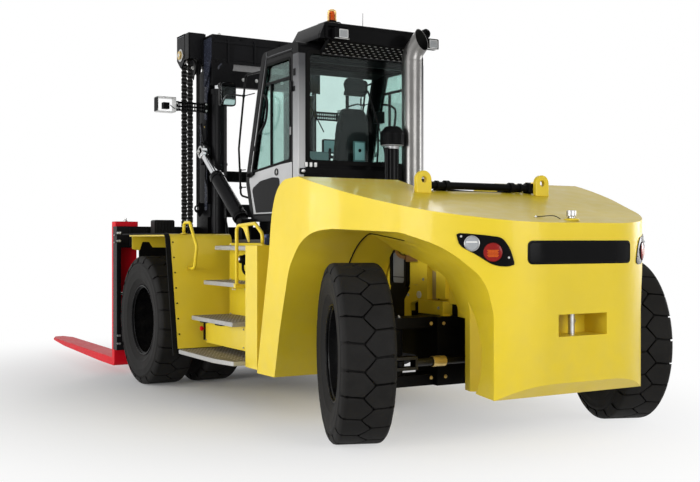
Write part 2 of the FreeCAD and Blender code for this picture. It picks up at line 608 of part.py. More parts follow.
def step_tread(z, x_outer, y0, y1, x_rear=None, y_corner=None):
    """One galvanised step plate with a folded edge; the bottom one tapers towards the rear."""
    depth, plate = 46.0, 12.0
    x_rear = x_rear or x_outer
    y_corner = y_corner or y1
    x0 = STEP_RECESS_X + CLEAR
    outline = [(x0, y0), (x_outer - 40, y0), (x_outer, y0 + 40), (x_outer, y_corner), (x_rear, y1), (x0, y1)]
    inner = [(x0, y0 + plate), (x_outer - 40 - plate, y0 + plate), (x_outer - plate, y0 + 40 + plate),
             (x_outer - plate, y_corner - plate), (x_rear - plate, y1 - plate), (x0, y1 - plate)]
    return slab_z(outline, z - depth, z).cut(slab_z(inner, z - depth - 1, z - plate))


def steps():
    y = Y_DRIVE
    return [step_tread(560, 1950, STEP_Y0, STEP_COLUMN_Y - CLEAR, 1880, y + 2360),
            step_tread(950, 1790, STEP_Y0, y + 2500),
            step_tread(1360, 1640, STEP_Y0, REAR_RAIL_Y - 26),
            step_tread(1765, 1500, STEP_Y0, y + 2260)]


def handrails():
    """Two yellow tube hoops on the left side."""
    y, x1, x2 = Y_DRIVE, FRONT_RAIL_X, REAR_RAIL_X
    foot_y = FRONT_WALL_TOP_Y - 60
    end_z = 1500.0
    end_y = wall_y(end_z - RAIL_R) + CLEAR
    first = tube_path([(x1, foot_y, FRONT_FENDER_TOP + CLEAR), (x1, foot_y, 2045), (x1, y + 1100, 2045),
                       (x1, y + 1330, 1760), (x1, y + 1250, end_z), (x1, end_y, end_z)], RAIL_R, 52)
    second = tube_path([(x2, REAR_RAIL_Y, RAIL_FOOT_Z + CLEAR), (x2, REAR_RAIL_Y, 1990), (x2, y + 2780, 2010),
                        (x2, y + 2960, 1900), (x2, y + 2960, COLUMN_TOP + CLEAR)], RAIL_R, 70)
    return [first, second]


def deck_plate():
    """Chequered walkway round the foot of the cab and the bridge that carries the exhaust."""
    half = FRONT_FENDER_INNER - CLEAR
    plate = box(-half, half, Y_DRIVE - 40, FENDER_FOOT_Y - 10, DECK_Z - DECK_PLATE, DECK_Z)
    slots = [box(s * TILT_X - 130, s * TILT_X + 130, Y_DRIVE - 50, TILT_BASE_Y + 115,
                 DECK_Z - 100, DECK_Z + 10)
             for s in (1, -1)]
    bridge = box(-600, 600, Y_DRIVE + 2420, Y_DRIVE + 2800, DECK_Z - 1, BRIDGE_Z)
    room = ENGINE_HALF + 10
    engine = box(-room, room, ENGINE_Y0 - 10, ENGINE_Y1 + 10, 700, ENGINE_TOP + 10)
    return fuse(plate, bridge).cut(slots[0]).cut(slots[1]).cut(engine)


# ---------------------------------------------------------------- cab
def cab_outline(inset=0.0):
    d = inset
    return [(CAB_FOOT_Y + d, CAB_FLOOR_Z + d), (CAB_WAIST_Y + 1.05 * d, CAB_WAIST_Z, 260 - d),
            (CAB_BROW_Y + 0.8 * d, CAB_TOP_Z - d, 110 - d), (CAB_REAR_Y - d, CAB_TOP_Z - d, 70 - d),
            (CAB_REAR_Y - d, CAB_FLOOR_Z + d)]


def hinge_knuckles(on_door):
    """Left door's hinge halves, stacked on one upright axis: the lower one is the cab's."""
    y = DOOR_POST_Y - GAP
    halves = []
    for z in DOOR_HINGE_Z:
        z0 = z + CLEAR if on_door else z - 60
        halves.append(cyl((DOOR_AXIS_X, y, z0), (0, 0, 1), 14, 60))
        leaf_y = y - 60 if on_door else DOOR_POST_Y
        halves.append(box(CAB_HALF - 2, CAB_HALF + 10, leaf_y, leaf_y + 60, z0, z0 + 60))
    return halves


def door_outline(inset=0.0):
    """Side opening between the front and rear posts; inset makes the door leaf."""
    d = inset
    return [(CAB_FOOT_Y + 85 + d, CAB_FLOOR_Z + 75 + d), (CAB_WAIST_Y + 95 + d, CAB_WAIST_Z - 10, 200),
            (CAB_BROW_Y + 65 + d, CAB_TOP_Z - 95 - d, 70 - d / 2),
            (DOOR_POST_Y - d, CAB_TOP_Z - 95 - d, 60 - d / 2),
            (DOOR_POST_Y - d, CAB_FLOOR_Z + 75 + d, 60 - d / 2)]


def door_window(inset=0.0):
    d = inset
    return [(CAB_WAIST_Y + 190 + d, CAB_WAIST_Z + 95 + d, 40),
            (CAB_BROW_Y + 130 + d, CAB_TOP_Z - 165 - d, 50),
            (DOOR_POST_Y - 75 - d, CAB_TOP_Z - 165 - d, 40),
            (DOOR_POST_Y - 75 - d, CAB_WAIST_Z + 180 + d, 40)]


def rear_window(inset=0.0):
    d = inset
    w = 730.0
    return [(-w + d, 2740 + d, 60), (w - d, 2740 + d, 60), (w - d, 3990 - d, 60), (-w + d, 3990 - d, 60)]


def roof_window(inset=0.0):
    d = inset
    y0, y1, w = Y_DRIVE + 1440, Y_DRIVE + 1720, 600
    return [(-w + d, y0 + d, 40), (w - d, y0 + d, 40), (w - d, y1 - d, 40), (-w + d, y1 - d, 40)]


def front_slant(t):
    """Point on the cab's raked front, t = 0 at the waist and 1 at the brow."""
    return (CAB_WAIST_Y + t * (CAB_BROW_Y - CAB_WAIST_Y), CAB_WAIST_Z + t * (CAB_TOP_Z - CAB_WAIST_Z))


def windscreen(thick0, thick1, inset=0.0):
    """Block along the raked front between two depths, used for the opening and for the glass."""
    (ya, za), (yb, zb) = front_slant(0.10), front_slant(0.90)
    run = V(0, yb - ya, zb - za).normalize()
    inward = V(0, run.z, -run.y)
    a = V(0, ya, za) + run * inset
    b = V(0, yb, zb) - run * inset
    corners = [a + inward * thick0, b + inward * thick0, b + inward * thick1, a + inward * thick1]
    return slab_x([(c.y, c.z) for c in corners], -740 + inset, 740 - inset)


def lower_front(thick0, thick1, inset=0.0):
    """Lower front window between the waist and the floor."""
    ya, za, yb, zb = CAB_FOOT_Y, CAB_FLOOR_Z, CAB_WAIST_Y, CAB_WAIST_Z
    run = V(0, yb - ya, zb - za).normalize()
    inward = V(0, run.z, -run.y)
    a = V(0, ya, za) + run * (110 + inset)
    b = V(0, yb, zb) - run * (150 + inset)
    corners = [a + inward * thick0, b + inward * thick0, b + inward * thick1, a + inward * thick1]
    return slab_x([(c.y, c.z) for c in corners], -620 + inset, 620 - inset)


def cab_shell():
    shell = slab_x(cab_outline(), -CAB_HALF, CAB_HALF)
    shell = shell.cut(slab_x(cab_outline(CAB_WALL), -CAB_HALF + CAB_WALL, CAB_HALF - CAB_WALL))
    shell = shell.cut(slab_x(door_outline(), -CAB_HALF - 10, CAB_HALF + 10))
    shell = shell.cut(slab_y(rear_window(), CAB_REAR_Y - 100, CAB_REAR_Y + 100))
    shell = shell.cut(slab_z(roof_window(), CAB_TOP_Z - 200, CAB_TOP_Z + 100))
    shell = shell.cut(windscreen(-150, 150)).cut(lower_front(-150, 150))
    skirt = box(-780, 780, CAB_FOOT_Y + 60, CAB_REAR_Y - 60, DECK_Z, CAB_FLOOR_Z + 1)
    hinges = hinge_knuckles(False)
    return fuse(shell, skirt, *hinges, *[mirrored(h) for h in hinges])


def cab_windows():
    """Windscreen, lower front pane, rear pane and roof pane, each seated in its opening."""
    middle = CAB_WALL / 2
    panes = [windscreen(middle, middle + GLASS, CLEAR), lower_front(middle, middle + GLASS, CLEAR),
             slab_y(rear_window(CLEAR), CAB_REAR_Y - 30, CAB_REAR_Y - 30 + GLASS),
             slab_z(roof_window(CLEAR), CAB_TOP_Z - 30, CAB_TOP_Z - 30 + GLASS)]
    return Part.makeCompound(panes)


def cab_door():
    leaf = slab_x(door_outline(GAP), CAB_HALF - CAB_WALL, CAB_HALF)
    leaf = leaf.cut(slab_x(door_window(), CAB_HALF - CAB_WALL - 5, CAB_HALF + 5))
    return fuse(leaf, *hinge_knuckles(True))


def door_glass():
    x = CAB_HALF - 24
    return slab_x(door_window(CLEAR), x - GLASS, x)


def roof_visor():
    """Box over the cab's rear edge, with slanted ends."""
    z0, z1 = CAB_TOP_Z, CAB_TOP_Z + 205
    outline = [(-700, z0 + 60), (-620, z1), (620, z1), (700, z0 + 60), (700, z0), (-700, z0)]
    return slab_y(outline, Y_DRIVE + 1760, Y_DRIVE + 2440)


def roof_lights():
    """Two work lamps on the visor's rear face and a beacon on its top."""
    y, z = Y_DRIVE + 2440, CAB_TOP_Z + 70
    lamps = [box(x - 95, x + 95, y + CLEAR, y + 95, z - 62, z + 62) for x in (450, -790)]
    beacon = fuse(cyl((230, Y_DRIVE + 1900, CAB_TOP_Z + 205), (0, 0, 1), 70, 70),
                  cyl((230, Y_DRIVE + 1900, CAB_TOP_Z + 275), (0, 0, 1), 60, 145))
    stay = box(-790, -700 - CLEAR, y - 60, y + 90, z - 20, z + 20)
    return Part.makeCompound([lamps[0], fuse(lamps[1], stay), beacon])


def cab_front(z):
    """Where the cab's front face lies at height z."""
    if z < CAB_WAIST_Z:
        return CAB_FOOT_Y + (z - CAB_FLOOR_Z) / (CAB_WAIST_Z - CAB_FLOOR_Z) * (CAB_WAIST_Y - CAB_FOOT_Y)
    return CAB_WAIST_Y + (z - CAB_WAIST_Z) / (CAB_TOP_Z - CAB_WAIST_Z) * (CAB_BROW_Y - CAB_WAIST_Y)


def mirrors():
    """Mirror on an upright tube whose ends are cut to the cab's raked front near its corner, left side."""
    x, x_end, r = CAB_HALF + 22, CAB_HALF - 38, 13.0
    overrun = 30.0              # each end runs on this far before it is cut
    y, z_top, z_low = Y_DRIVE, 3905.0, 2350.0
    tube = tube_path([(x_end, cab_front(z_top) + overrun, z_top), (x, y + 850, z_top), (x, y + 640, 3000),
                      (x, y + 700, 2400), (x_end, cab_front(z_low) + overrun, z_low)], r, 60)
    arm = tube_path([(x, y + 790, 3650), (x + 60, y + 520, 3700), (x + 66, y + 440, 3700)], 11, 60)
    head = slab_y([(x - 45, 3560, 40), (x + 175, 3560, 40), (x + 175, 3870, 40), (x - 45, 3870, 40)],
                  y + 380, y + 445)
    return fuse(tube, arm, head).cut(slab_x(cab_outline(-CLEAR), 0, CAB_HALF + CLEAR))


def seat():
    """Frame, cushion, backrest and headrest on the cab's centreline."""
    y = Y_DRIVE
    floor = CAB_FLOOR_Z + CAB_WALL
    pan = floor + 340
    back_y, back_z, back_rise, back_lean = y + 1985, floor + 480, 860.0, 90.0

    def behind_back(height):
        """Just behind the backrest's rear face, at a height above its foot."""
        return back_y + height / back_rise * back_lean + CLEAR + 0.2

    bracket = [(back_y - 25, pan - 40), (back_y + 40, pan - 40), (behind_back(150) + 26, back_z + 150),
               (behind_back(150), back_z + 150), (behind_back(30), back_z + 30)]
    base = fuse(box(-210, 210, y + 1520, y + 1960, floor, floor + 300),
                box(-240, 240, y + 1480, y + 2000, floor + 300, pan),
                slab_x(bracket, -90, 90))
    posts = [cyl((s * 95, y + 2030, floor + 1342.7), (0, 0, 1), 8, 91.9) for s in (1, -1)]
    cushion = slab_x([(y + 1430, pan + CLEAR, 40), (y + 1940, pan + CLEAR, 20), (y + 1940, floor + 460, 40),
                      (y + 1430, floor + 490, 50)], -260, 260)
    lean = slab_x([(y + 1850, floor + 505, 30), (back_y, back_z, 20),
                   (back_y + back_lean, back_z + back_rise, 35), (y + 1965, floor + 1345, 35)], -250, 250)
    head = slab_x([(y + 1990, floor + 1440, 30), (y + 2085, floor + 1430, 30), (y + 2110, floor + 1690, 40),
                   (y + 2015, floor + 1695, 40)], -160, 160)
    return Part.makeCompound([base] + posts), cushion, lean, head


def dashboard():
    """Console under the windscreen with the steering column."""
    y = Y_DRIVE
    floor = CAB_FLOOR_Z + CAB_WALL
    desk = slab_x([(y + 985, floor + 560), (y + 1170, floor + 600, 30), (y + 1200, floor + 500, 30),
                   (y + 1120, floor), (y + 1040, floor)], -330, 330)
    column = cyl((0, COLUMN_FOOT_Y, COLUMN_FOOT_Z), COLUMN_AXIS, 42, COLUMN_LENGTH - CLEAR)
    return fuse(desk, column)


def steering_wheel():
    axis = V(*COLUMN_AXIS).normalize()
    centre = V(0, COLUMN_FOOT_Y, COLUMN_FOOT_Z) + axis * COLUMN_LENGTH
    ring = Part.makeTorus(190, 15, centre, axis)
    hub = Part.makeCylinder(45, 40, centre, axis)
    bar = Part.makeBox(360, 34, 16, V(-180, -17, 4))
    cross = Part.makeBox(34, 180, 16, V(-17, -180, 4))
    for spoke in (bar, cross):
        spoke.rotate(V(0, 0, 0), V(1, 0, 0), -math.degrees(math.atan2(COLUMN_AXIS[1], COLUMN_AXIS[2])))
        spoke.translate(centre)
    return fuse(ring, hub, bar, cross)


# ---------------------------------------------------------------- engine cover and stack
def engine_hood():
    """Flat lid over the engine with turned-down sides, hinged at its rear edge."""
    lid = slab_x([(HOOD_Y0, HOOD_Z0), (HOOD_Y0, HOOD_Z1, 60), (HOOD_Y1, HOOD_Z1, 20), (HOOD_Y1, HOOD_Z0)],
                 -HOOD_HALF, HOOD_HALF)
    under = box(-HOOD_HALF + 20, HOOD_HALF - 20, HOOD_Y0 + 20, HOOD_Y1 - 20, HOOD_Z0 - 10, HOOD_Z1 - 20)
    arms = []
    for s in (1, -1):
        arms.append(slab_x([(HOOD_Y1 - 160, HOOD_Z1 - 1), (HOOD_Y1 - 160, HOOD_Z1 + 40),
                            (HINGE_Y, HINGE_Z + HINGE_EYE_R), (HINGE_Y, HINGE_Z - 20),
                            (HOOD_Y1 - 20, HOOD_Z1 - 1)], s * 400 - 25, s * 400 + 25))
        arms.append(cyl((s * 400 - 25, HINGE_Y, HINGE_Z), (1, 0, 0), HINGE_EYE_R, 50))
    bore = cyl((-WELL_HALF, HINGE_Y, HINGE_Z), (1, 0, 0), HINGE_R + CLEAR, 2 * WELL_HALF)
    return fuse(lid.cut(under), *arms).cut(bore)


def hood_hinge():
    """Transverse tube between the fenders with its clamps."""
    tube = cyl((-WELL_HALF - 40, HINGE_Y, HINGE_Z), (1, 0, 0), HINGE_R, 2 * WELL_HALF + 80)
    seat_z = deck_height(HINGE_Y - 50) + CLEAR
    feet = [slab_x([(HINGE_Y - 50, seat_z), (HINGE_Y + 50, seat_z), (HINGE_Y + 50, HINGE_Z + 50, 20),
                    (HINGE_Y - 50, HINGE_Z + 50, 20)], s * (WELL_HALF + 20) - 40, s * (WELL_HALF + 20) + 40)
            for s in (1, -1)]
    return fuse(tube, *feet)


def exhaust_stack():
    """Upright pipe with a mitred elbow that points back and out."""
    base_z, bend_z, bend = BRIDGE_Z, 3930.0, 250.0
    out = V(-0.7071, 0.7071, 0)
    angle = math.radians(52)
    start = V(STACK_X, STACK_Y, base_z)
    knee = V(STACK_X, STACK_Y, bend_z)
    centre = knee + out * bend
    middle = centre - out * (bend * math.cos(angle / 2)) + V(0, 0, bend * math.sin(angle / 2))
    end = centre - out * (bend * math.cos(angle)) + V(0, 0, bend * math.sin(angle))
    heading = out * math.sin(angle) + V(0, 0, math.cos(angle))
    tip = end + heading * 110
    path = Part.Wire([Part.LineSegment(start, knee).toShape(), Part.Arc(knee, middle, end).toShape(),
                      Part.LineSegment(end, tip).toShape()])
    outer = path.makePipeShell([Part.Wire([Part.Circle(start, V(0, 0, 1), STACK_R).toShape()])], True, True)
    inner = path.makePipeShell([Part.Wire([Part.Circle(start, V(0, 0, 1), STACK_R - 5).toShape()])], True,
                               True)
    foot = cyl((STACK_X, STACK_Y, base_z), (0, 0, 1), STACK_R + 14, 120)
    return fuse(outer.cut(inner), foot)


def air_cleaner():
    x, y = CLEANER_X, STACK_Y
    return fuse(cyl((x, y, BRIDGE_Z), (0, 0, 1), 60, 2950 - BRIDGE_Z),
                cyl((x, y, 2930), (0, 0, 1), 140, 150),
                Part.makeCone(140, 90, 60, V(x, y, 3080), V(0, 0, 1)))


# ---------------------------------------------------------------- mast
def channel(x_outer, y0, y1, z0, z1, lip, web):
    """C-section rail open towards the middle of the truck, left side."""
    body = box(x_outer - lip, x_outer, y0, y1, z0, z1)
    return body.cut(box(x_outer - lip - 1, x_outer - web, y0 + web, y1 - web, z0 - 1, z1 + 1))


def outer_mast():
    rail = channel(MAST_HALF, MAST_Y0, MAST_Y1, MAST_BOTTOM, MAST_TOP, CHANNEL_LIP, CHANNEL_WEB)
    shapes = [box(-MAST_HALF, MAST_HALF, MAST_Y1 - 1, MAST_Y1 + 90, z0, z1)
              for z0, z1 in (FOOT_BEAM_Z, (2150, 2330), (3960, MAST_TOP))]
    shelf_top = CYLINDER_BOTTOM - CLEAR
    shapes.append(box(-MAST_HALF, MAST_HALF, MAST_Y1 - 1, CYLINDER_Y + 100, MAST_BOTTOM + 20, shelf_top))
    for s in (1, -1):
        x0, x1 = sorted(s * x for x in MAST_EAR_X)
        shapes.append(slab_x([(MAST_Y1 - 1, FOOT_BEAM_Z[0]), (MAST_Y1 + 130, FOOT_BEAM_Z[0]),
                              (PIVOT_Y + PIVOT_EAR_R, PIVOT_Z + PIVOT_EAR_R, 70),
                              (MAST_Y1 - 1, PIVOT_Z + PIVOT_EAR_R, 50)], x0, x1))
        # lug that carries the pin of the tilt cylinder's rod
        t0, t1 = sorted((s * (MAST_HALF - 1), s * (TILT_X - 60)))
        shapes.append(slab_x([(MAST_Y1 - 160, TILT_EYE_Z - 160), (MAST_Y1 - 160, TILT_EYE_Z + 160),
                              (TILT_EYE_Y + 50, TILT_EYE_Z + 75, 60), (TILT_EYE_Y + 70, TILT_EYE_Z - 75, 60)],
                             t0, t1))
        shapes.append(cyl((s * (TILT_X - 61), TILT_EYE_Y, TILT_EYE_Z), (s, 0, 0), TILT_ROD_PIN_R, 115))
        # anchor of the lift chain's rear leg
        a0, a1 = sorted((s * (MAST_HALF - 1), s * (CHAIN_X + CHAIN_WIDTH / 2 + 10)))
        shapes.append(box(a0, a1, SHEAVE_Y + SHEAVE_R - 30, MAST_Y1 - 60, ANCHOR_Z - 80, ANCHOR_Z))
        # wear pad that the inner rail slides on
        p0, p1 = sorted((s * (MAST_HALF - CHANNEL_WEB - ROLLER_GAP + CLEAR),
                         s * (MAST_HALF - CHANNEL_WEB + 1)))
        shapes.append(box(p0, p1, MAST_Y0 + 120, MAST_Y1 - 120, MAST_TOP - 240, MAST_TOP - 40))
    whole = fuse(rail, mirrored(rail), *shapes)
    whole = whole.cut(cyl((-MAST_HALF, PIVOT_Y, PIVOT_Z), (1, 0, 0), PIVOT_R + CLEAR, 2 * MAST_HALF))
    for s in (1, -1):
        seat = cyl((s * CYLINDER_X, CYLINDER_Y, shelf_top), (0, 0, 1), CYLINDER_R + CLEAR, MAST_TOP)
        whole = whole.cut(seat)
    return whole


def lift_cylinder():
    """Left lift cylinder barrel, open at the top for its rod."""
    height = CYLINDER_TOP - CYLINDER_BOTTOM
    at = (CYLINDER_X, CYLINDER_Y, CYLINDER_BOTTOM)
    inside = (CYLINDER_X, CYLINDER_Y, CYLINDER_BOTTOM + 60)
    return cyl(at, (0, 0, 1), CYLINDER_R, height).cut(cyl(inside, (0, 0, 1), LIFT_ROD_R + CLEAR, height))


def lift_rod():
    z0 = CYLINDER_BOTTOM + 120
    return cyl((CYLINDER_X, CYLINDER_Y, z0), (0, 0, 1), LIFT_ROD_R, CROSSHEAD_Z0 - z0)


def inner_mast():
    """Inner rails nested in the outer ones, a crosshead on top and cheeks for the chain sheaves."""
    x_outer = MAST_HALF - CHANNEL_WEB - ROLLER_GAP
    y0 = MAST_Y0 + CHANNEL_WEB + ROLLER_GAP
    y1 = MAST_Y1 - CHANNEL_WEB - ROLLER_GAP
    rail = channel(x_outer, y0, y1, INNER_BOTTOM, CROSSHEAD_Z0 + 1, INNER_LIP, INNER_WEB)
    low = box(-x_outer + 190, x_outer - 190, y1 - INNER_WEB, y1, INNER_BOTTOM + 20, INNER_BOTTOM + 220)
    middle = box(-x_outer + 190, x_outer - 190, y1 - INNER_WEB, y1, 2650, 2800)
    crosshead = box(-MAST_HALF - 30, MAST_HALF + 30, MAST_Y0 + 60, CYLINDER_Y + 110, CROSSHEAD_Z0, INNER_TOP)
    hollow = box(-MAST_HALF + 120, MAST_HALF - 120, MAST_Y0 + 130, CYLINDER_Y - 60, CROSSHEAD_Z0 + 60,
                 INNER_TOP + 1)
    shapes = [rail, mirrored(rail), low, middle, crosshead.cut(hollow)]
    cheek = [(SHEAVE_Y - 150, SHEAVE_Z - 60), (SHEAVE_Y - 150, INNER_TOP + 60, 40),
             (SHEAVE_Y + 160, INNER_TOP + 60, 40),
             (SHEAVE_Y + 160, SHEAVE_Z - 60), (SHEAVE_Y, SHEAVE_Z - 190, 30)]
    for s in (1, -1):
        # wear pad at the foot of the rail, against the outer rail's web
        p0, p1 = sorted((s * (x_outer - 1), s * (MAST_HALF - CHANNEL_WEB - CLEAR)))
        shapes.append(box(p0, p1, y0 + 60, y1 - 60, INNER_BOTTOM + 40, INNER_BOTTOM + 240))
        a0, a1 = sorted((s * (MAST_HALF + 29), s * (MAST_HALF + 55)))
        b0, b1 = sorted((s * (CHAIN_X + SHEAVE_WIDTH / 2 + 8), s * (CHAIN_X + SHEAVE_WIDTH / 2 + 34)))
        shapes.append(slab_x(cheek, a0, a1))
        shapes.append(slab_x(cheek, b0, b1))
        c0, c1 = sorted((a0 if s > 0 else a1, b1 if s > 0 else b0))
        shapes.append(box(c0, c1, SHEAVE_Y - 150, SHEAVE_Y + 160, INNER_TOP + 30, INNER_TOP + 60))
        pin_length = CHAIN_X + SHEAVE_WIDTH / 2 + 20 - (MAST_HALF + 40)
        shapes.append(cyl((s * (MAST_HALF + 40), SHEAVE_Y, SHEAVE_Z), (s, 0, 0), PIN_R, pin_length))
    return fuse(*shapes)


def chain_sheave():
    x0 = CHAIN_X - SHEAVE_WIDTH / 2
    wheel = cyl((x0, SHEAVE_Y, SHEAVE_Z), (1, 0, 0), SHEAVE_R + 14, SHEAVE_WIDTH)
    groove = cyl((x0 + 18, SHEAVE_Y, SHEAVE_Z), (1, 0, 0), SHEAVE_R + 60, SHEAVE_WIDTH - 36)
    core_r = SHEAVE_R - CHAIN_THICK / 2 - CLEAR
    core = cyl((x0 + 18, SHEAVE_Y, SHEAVE_Z), (1, 0, 0), core_r, SHEAVE_WIDTH - 36)
    bore = cyl((x0, SHEAVE_Y, SHEAVE_Z), (1, 0, 0), PIN_R + CLEAR, SHEAVE_WIDTH)
    return wheel.cut(groove.cut(core)).cut(bore)


def chain_leg(side_y, z0):
    """One straight leg of the left lift chain, from the sheave down to its anchor."""
    half = CHAIN_THICK / 2
    y0, y1 = sorted((SHEAVE_Y + side_y * (SHEAVE_R - half), SHEAVE_Y + side_y * (SHEAVE_R + half)))
    return box(CHAIN_X - CHAIN_WIDTH / 2, CHAIN_X + CHAIN_WIDTH / 2, y0, y1, z0, SHEAVE_Z)


def mast_lamp():
    """Work lamp on an arm beside the outer mast, left side."""
    x = 1420.0
    y = MAST_Y1 + 20
    lamp = box(x - 130, x + 130, y - 70, y + 70, 3560, 3760)
    arm = box(MAST_HALF + CLEAR, x + 10, y - 25, y + 25, 3500, 3540)
    post = box(x - 20, x + 20, y - 25, y + 25, 3500, 3562)
    return fuse(lamp, arm, post)


def carriage():
    """Wide fork carriage: two beams, end plates, middle posts and roller arms."""
    y0, y1 = CARRIAGE_Y0, CARRIAGE_Y1
    beams = [box(-CARRIAGE_HALF, CARRIAGE_HALF, y0, y1, CARRIAGE_Z1 - BEAM_HEIGHT, CARRIAGE_Z1),
             box(-CARRIAGE_HALF, CARRIAGE_HALF, y0, y1, CARRIAGE_Z0, CARRIAGE_Z0 + BEAM_HEIGHT)]
    posts = []
    x_roller = MAST_HALF - CHANNEL_WEB - ROLLER_GAP - INNER_LIP
    roller_r = (MAST_Y1 - MAST_Y0) / 2 - CHANNEL_WEB - ROLLER_GAP - INNER_WEB - CLEAR
    for s in (1, -1):
        for x0, x1 in ((CARRIAGE_HALF - 60, CARRIAGE_HALF), (x_roller - 70, x_roller - 8), (1040, 1120)):
            a0, a1 = sorted((s * x0, s * x1))
            posts.append(box(a0, a1, y0, y1, CARRIAGE_Z0 + 10, CARRIAGE_Z1 - 10))
        a0, a1 = sorted((s * (x_roller - 70), s * (x_roller - 8)))
        posts.append(box(a0, a1, y1 - 10, MAST_Y1 - CARRIAGE_ARM_REACH, CARRIAGE_Z0 + 60, CARRIAGE_Z1 - 200))
        for z in (CARRIAGE_Z0 + 250, CARRIAGE_Z1 - 420):
            posts.append(cyl((s * (x_roller - 10), (MAST_Y0 + MAST_Y1) / 2, z), (s, 0, 0), roller_r, 120))
    return fuse(*beams, *posts)


def fork():
    """Left fork: upright shank, heel and a blade that thins towards its tip."""
    x0, x1 = FORK_OUTER_X - FORK_WIDTH, FORK_OUTER_X
    y_back = FORK_FACE_Y + FORK_THICK
    tip = FORK_FACE_Y - FORK_LENGTH
    z = FORK_UNDER_Z
    side = [(y_back, FORK_TOP_Z), (FORK_FACE_Y, FORK_TOP_Z), (FORK_FACE_Y, z + FORK_THICK, 25),
            (tip, z + FORK_THICK), (tip, z + FORK_THICK - 20), (tip + 900, z + 35),
            (FORK_FACE_Y - 600, z), (y_back, z, 60)]
    blade = slab_x(side, x0, x1)
    plan = slab_z([(x0, y_back + 10), (x1, y_back + 10), (x1, tip + 260), (x1 - 90, tip, 30),
                   (x0 + 90, tip, 30),
                   (x0, tip + 260)], z - 10, FORK_TOP_Z + 10)
    hook = box(x0, x1, y_back - 1, CARRIAGE_Y0 + FORK_HOOK, CARRIAGE_Z1 + CLEAR, FORK_TOP_Z)
    return fuse(blade.common(plan), hook)


def tilt_line():
    """Unit vector and length from the base eye to the rod eye, in the plane x = TILT_X."""
    run = V(0, TILT_EYE_Y - TILT_BASE_Y, TILT_EYE_Z - TILT_BASE_Z)
    length = run.Length
    return run.normalize(), length


def tilt_barrel():
    along, _ = tilt_line()
    base = V(TILT_X, TILT_BASE_Y, TILT_BASE_Z)
    across = V(0, along.z, -along.y) * 60
    half = TILT_EYE_HALF
    eye = Part.makeCylinder(TILT_EYE_R, 2 * half, base - V(half, 0, 0), V(1, 0, 0))
    ends = [base + across, base + along * (TILT_NECK + 20) + across,
            base + along * (TILT_NECK + 20) - across, base - across]
    neck = slab_x([(p.y, p.z) for p in ends], TILT_X - half, TILT_X + half)
    tube = Part.makeCylinder(TILT_BARREL_R, TILT_BARREL_LENGTH - TILT_NECK, base + along * TILT_NECK, along)
    bore = Part.makeCylinder(TILT_ROD_R + CLEAR, TILT_BARREL_LENGTH, base + along * (TILT_NECK + 40), along)
    pin_hole = Part.makeCylinder(TILT_PIN_R + CLEAR, 4 * half, base - V(2 * half, 0, 0), V(1, 0, 0))
    return fuse(eye, neck, tube).cut(bore).cut(pin_hole)


def tilt_rod():
    """Rod with an eye that is open round the mast's pin."""
    along, length = tilt_line()
    base = V(TILT_X, TILT_BASE_Y, TILT_BASE_Z)
    eye_r = TILT_ROD_PIN_R + TILT_ROD_PLAY + 27
    rod = Part.makeCylinder(TILT_ROD_R, length - TILT_ROD_START - eye_r + 10, base + along * TILT_ROD_START,
                            along)
    eye = Part.makeCylinder(eye_r, 70, V(TILT_X - 35, TILT_EYE_Y, TILT_EYE_Z), V(1, 0, 0))
    hole = Part.makeCylinder(TILT_ROD_PIN_R + TILT_ROD_PLAY, 100, V(TILT_X - 50, TILT_EYE_Y, TILT_EYE_Z),
                             V(1, 0, 0))
    return fuse(rod, eye).cut(hole)


def tilt_base():
    """Clevis on the frame with the pin of the tilt cylinder's base eye, left side."""
    y, z = TILT_BASE_Y, TILT_BASE_Z
    cheeks = []
    for x0 in (TILT_X - TILT_EYE_HALF - 4 - 36, TILT_X + TILT_EYE_HALF + 4):
        cheeks.append(slab_x([(y - 85, DECK_Z - DECK_PLATE), (y + 105, DECK_Z - DECK_PLATE),
                              (y + 85, z + 75, 70),
                              (y - 75, z + 75, 70)], x0, x0 + 36))
    pin = cyl((TILT_X - 80, y, z), (1, 0, 0), TILT_PIN_R, 160)
    return fuse(pin, *cheeks)


def head_lamp():
    """Lamp box on the front fender, left side."""
    return box(1380, 1660, Y_DRIVE - 480, Y_DRIVE - 330, FRONT_FENDER_TOP, FRONT_FENDER_TOP + 190)


